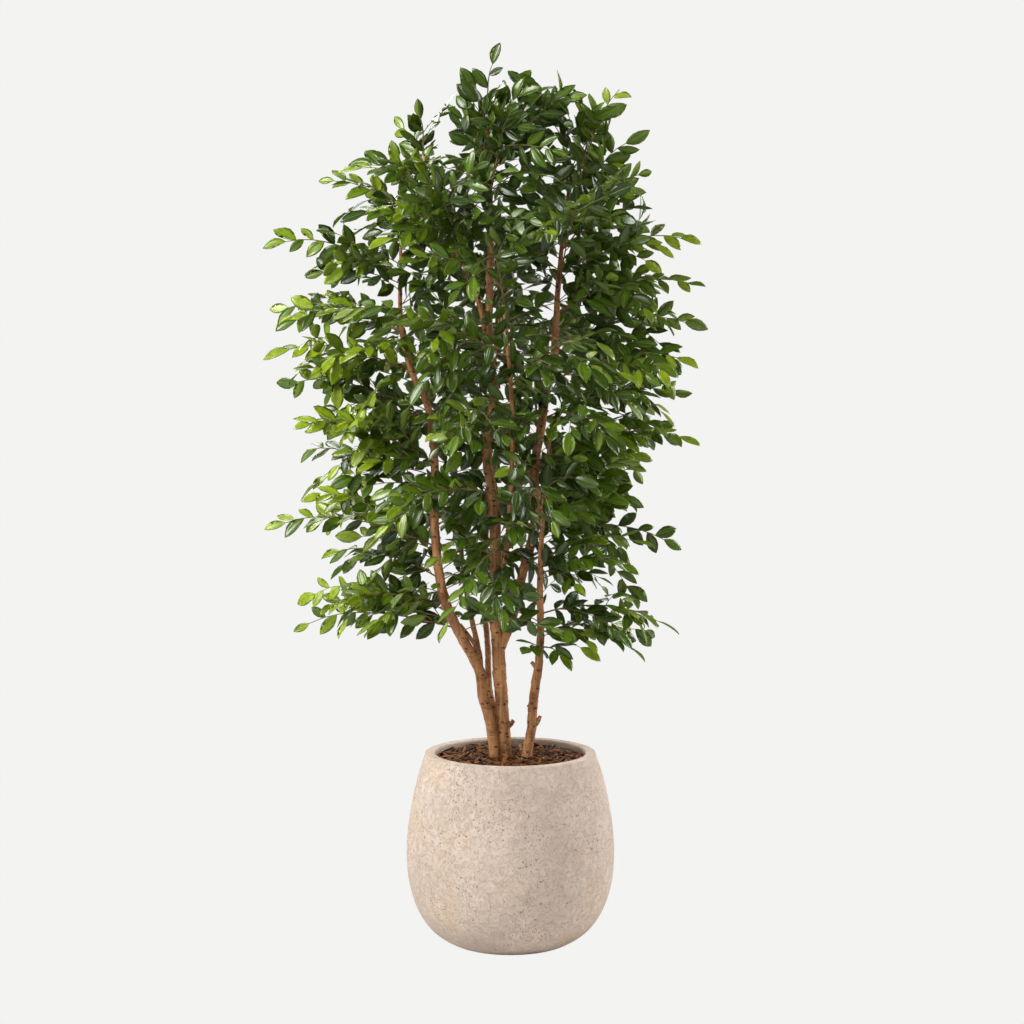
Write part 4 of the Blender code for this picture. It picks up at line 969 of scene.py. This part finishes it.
def make_spray(name, settings, materials, wood, draw):
    """One spray as a piece: its blades first, then its twigs."""
    spray = Spray(name, settings, draw)
    leaves = np.concatenate(spray.leaves)
    leaves = leaves[keep_off(leaves, settings.length, wood, draw)]
    count = len(leaves)
    root, forward, over, grown, age = leaves[:, :3], leaves[:, 3:6], leaves[:, 6:9], leaves[:, 9], leaves[:, 10]
    width = settings.width * grown * draw.uniform(0.88, 1.10, count)
    shape = blades(
        root, forward, over, settings.length * grown, width,
        draw.uniform(0.16, 0.42, count), draw.uniform(0.02, 0.20, count), draw.uniform(0.0003, 0.0014, count),
    )
    lines = np.array(spray.lines)
    taper = np.linspace(1, 0.45, TWIG_PLACES)
    twigs = tubes(lines, np.array(spray.widths)[:, None] * taper, TWIG_SIDES)

    rows, ring = len(BLADE_ALONG), len(BLADE_ACROSS)
    blade_faces = closed_faces(rows, ring, count)
    shift = shape.size // 3
    twig_faces = [[corner + shift for corner in face] for face in closed_faces(TWIG_PLACES, TWIG_SIDES, len(lines))]
    beneath = np.tile(np.arange(ring) >= UPPER_FACES, (rows - 1) * count)
    under = np.concatenate([beneath, np.zeros(2 * count), np.zeros(len(twig_faces))])
    # Painted light and shade: leaves nearer the middle of the crown are darker as painted shade inside it, leaves at
    # its outside paler as painted light, and leaves on the left a little paler as painted light from the left.
    out = np.clip(np.linalg.norm(root * (1, 0.6, 0), axis=-1) / 0.38, 0, 1)
    left = np.clip(0.5 - root[:, 0] / 0.9, 0, 1)
    tones_and_shade = np.clip(age * (0.30 + 0.95 * out) + 0.06 * (left - 0.5), 0, 1)
    old = np.linspace(1, 0, TWIG_PLACES - 1)
    twig_tone = np.tile(np.repeat(old, TWIG_SIDES), len(lines)) * np.repeat([1.0] + [0.5] * (len(lines) - 1), (TWIG_PLACES - 1) * TWIG_SIDES)
    tone = np.concatenate([per_face(tones_and_shade, rows, ring), twig_tone, np.zeros(2 * len(lines))])
    points = np.concatenate([shape.reshape(-1, 3), twigs.reshape(-1, 3)])
    obj = new_piece(name + "_finish", points, blade_faces + twig_faces, materials, [name], "leaf", under=under, tone=tone)
    which = np.concatenate([np.zeros(len(blade_faces), int), np.ones(len(twig_faces), int)])
    obj.data.polygons.foreach_set("material_index", which)
    set_blade_map(obj.data, count, len(blade_faces))
    print(name, count, len(lines), len(blade_faces) * 2)
    return count


def make_stage(settings):
    """A pale floor that sweeps up into a backdrop, a large soft light on the left, and the photograph's camera."""
    scene = bpy.context.scene
    width = np.array([-14, 14.0])
    turn = np.linspace(0, math.pi / 2, 13)
    depth = np.concatenate([[-9], 5 + 3 * np.sin(turn), [8]])
    height = np.concatenate([[0], 3 - 3 * np.cos(turn), [12]])
    grid = np.stack([np.repeat(width[None], len(depth), 0), np.repeat(depth[:, None], 2, 1), np.repeat(height[:, None], 2, 1)], -1)
    grid[..., 2] -= 0.0005
    i = np.arange(len(depth) - 1)[:, None] * 2
    mesh = bpy.data.meshes.new("floor")
    mesh.from_pydata(grid.reshape(-1, 3), [], (i + [0, 1, 3, 2]).tolist())
    mesh.shade_smooth()
    floor = bpy.data.objects.new("floor", mesh)
    scene.collection.objects.link(floor)
    paper = bpy.data.materials.new("pale_paper")
    paper.use_nodes = True
    nodes, links = paper.node_tree.nodes, paper.node_tree.links
    nodes["Principled BSDF"].inputs["Base Color"].default_value = (0.78, 0.78, 0.77, 1)
    nodes["Principled BSDF"].inputs["Roughness"].default_value = 0.9
    glow = nodes.new("ShaderNodeEmission")
    glow.inputs["Color"].default_value = (*settings.backdrop, 1)
    seen = nodes.new("ShaderNodeLightPath")
    mix = nodes.new("ShaderNodeMixShader")
    links.new(seen.outputs["Is Camera Ray"], mix.inputs[0])
    links.new(nodes["Principled BSDF"].outputs[0], mix.inputs[1])
    links.new(glow.outputs[0], mix.inputs[2])
    links.new(mix.outputs[0], nodes["Material Output"].inputs["Surface"])
    mesh.materials.append(paper)

    world = bpy.data.worlds.new("studio")
    world.use_nodes = True
    nodes, links = world.node_tree.nodes, world.node_tree.links
    fill = nodes["Background"]
    fill.inputs["Color"].default_value = (1.0, 0.99, 0.95, 1)
    fill.inputs["Strength"].default_value = settings.fill
    seen = nodes.new("ShaderNodeLightPath")
    behind = nodes.new("ShaderNodeBackground")
    behind.inputs["Color"].default_value = (*settings.backdrop, 1)
    mix = nodes.new("ShaderNodeMixShader")
    links.new(seen.outputs["Is Camera Ray"], mix.inputs[0])
    links.new(fill.outputs[0], mix.inputs[1])
    links.new(behind.outputs[0], mix.inputs[2])
    links.new(mix.outputs[0], nodes["World Output"].inputs["Surface"])
    scene.world = world
    scene.view_settings.view_transform = "Standard"

    for name, place, power, size_m in (
        ("key_light", (-3.0, -1.6, 3.2), settings.key, 1.7),
        ("top_light", (-1.3, 3.2, 3.4), settings.key * 0.50, 2.2),
        ("front_light", (-0.6, -4.4, 3.4), settings.key * 0.36, 1.8),
        ("side_light", (3.3, 0.9, 2.0), settings.key * 0.66, 1.6),
    ):
        lamp = bpy.data.lights.new(name, "AREA")
        lamp.energy = power
        lamp.size = size_m
        light = bpy.data.objects.new(name, lamp)
        light.location = place
        light.rotation_euler = (Vector((0, 0, 0.95)) - Vector(place)).to_track_quat("-Z", "Y").to_euler()
        scene.collection.objects.link(light)

    camera = bpy.data.objects.new("camera", bpy.data.cameras.new("camera"))
    camera.data.lens = 74.0
    camera.data.sensor_width = 36.0
    camera.location = CAMERA
    camera.rotation_euler = Euler((math.radians(90 - 3.99), 0, 0))
    scene.collection.objects.link(camera)
    scene.camera = camera


# Operators

class JASMINE_OT_soil(bpy.types.Operator):
    """Finishes the potting soil under the mulch"""

    bl_idname = "jasmine.soil"
    bl_label = "Potting soil"

    def execute(self, context):
        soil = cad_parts["potting_soil"]
        soil.data.materials.clear()
        soil.data.materials.append(soil_finish())
        return {"FINISHED"}


class JASMINE_OT_pot(bpy.types.Operator):
    """Makes the cast stone pot"""

    bl_idname = "jasmine.pot"
    bl_label = "Cast stone pot"

    def execute(self, context):
        make_pot(context.scene.jasmine_pot)
        return {"FINISHED"}


class JASMINE_OT_mulch(bpy.types.Operator):
    """Makes the layer of bark mulch"""

    bl_idname = "jasmine.mulch"
    bl_label = "Bark mulch"

    def execute(self, context):
        make_mulch(context.scene.jasmine_mulch)
        return {"FINISHED"}


class JASMINE_OT_stems(bpy.types.Operator):
    """Makes the woody stems"""

    bl_idname = "jasmine.stems"
    bl_label = "Stems"

    def execute(self, context):
        make_stems(context.scene.jasmine_stems)
        return {"FINISHED"}


class JASMINE_OT_sprays(bpy.types.Operator):
    """Makes the leafy sprays"""

    bl_idname = "jasmine.sprays"
    bl_label = "Leafy sprays"

    def execute(self, context):
        settings = context.scene.jasmine_leaves
        materials = [leaf_finish(settings), twig_finish(settings)]
        wood = np.concatenate([through(limb, 60) for limb in LIMBS.values()])
        draw = np.random.default_rng(settings.seed)
        total = sum(make_spray(name, settings, materials, wood, draw) for name in SPRAYS)
        print(total, "leaves")
        return {"FINISHED"}


class JASMINE_OT_stage(bpy.types.Operator):
    """Makes the floor, the lights and the camera"""

    bl_idname = "jasmine.stage"
    bl_label = "Stage"

    def execute(self, context):
        make_stage(context.scene.jasmine_stage)
        return {"FINISHED"}


OPERATORS = (
    JASMINE_OT_pot, JASMINE_OT_soil, JASMINE_OT_mulch, JASMINE_OT_stems, JASMINE_OT_sprays, JASMINE_OT_stage,
)
SETTINGS = {
    "jasmine_pot": PotSettings,
    "jasmine_mulch": MulchSettings,
    "jasmine_stems": StemSettings,
    "jasmine_leaves": LeafSettings,
    "jasmine_stage": StageSettings,
}


class JASMINE_PT_panel(bpy.types.Panel):
    """Lists the pieces of the potted jasmine"""

    bl_label = "Potted orange jasmine"
    bl_idname = "JASMINE_PT_panel"
    bl_space_type = "VIEW_3D"
    bl_region_type = "UI"
    bl_category = "Jasmine"

    def draw(self, context):
        for name in SETTINGS:
            box = self.layout.box()
            settings = getattr(context.scene, name)
            for key in settings.bl_rna.properties.keys():
                if key not in ("rna_type", "name"):
                    box.prop(settings, key)
        for operator in OPERATORS:
            self.layout.operator(operator.bl_idname)


def register():
    for kind in (*SETTINGS.values(), *OPERATORS, JASMINE_PT_panel):
        bpy.utils.register_class(kind)
    for name, kind in SETTINGS.items():
        setattr(bpy.types.Scene, name, PointerProperty(type=kind))


def unregister():
    for name in SETTINGS:
        delattr(bpy.types.Scene, name)
    for kind in (JASMINE_PT_panel, *reversed(OPERATORS), *SETTINGS.values()):
        bpy.utils.unregister_class(kind)


def main():
    register()
    for operator in OPERATORS:
        getattr(bpy.ops.jasmine, operator.bl_idname.split(".")[1])()
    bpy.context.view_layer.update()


if __name__ == "__main__":
    main()
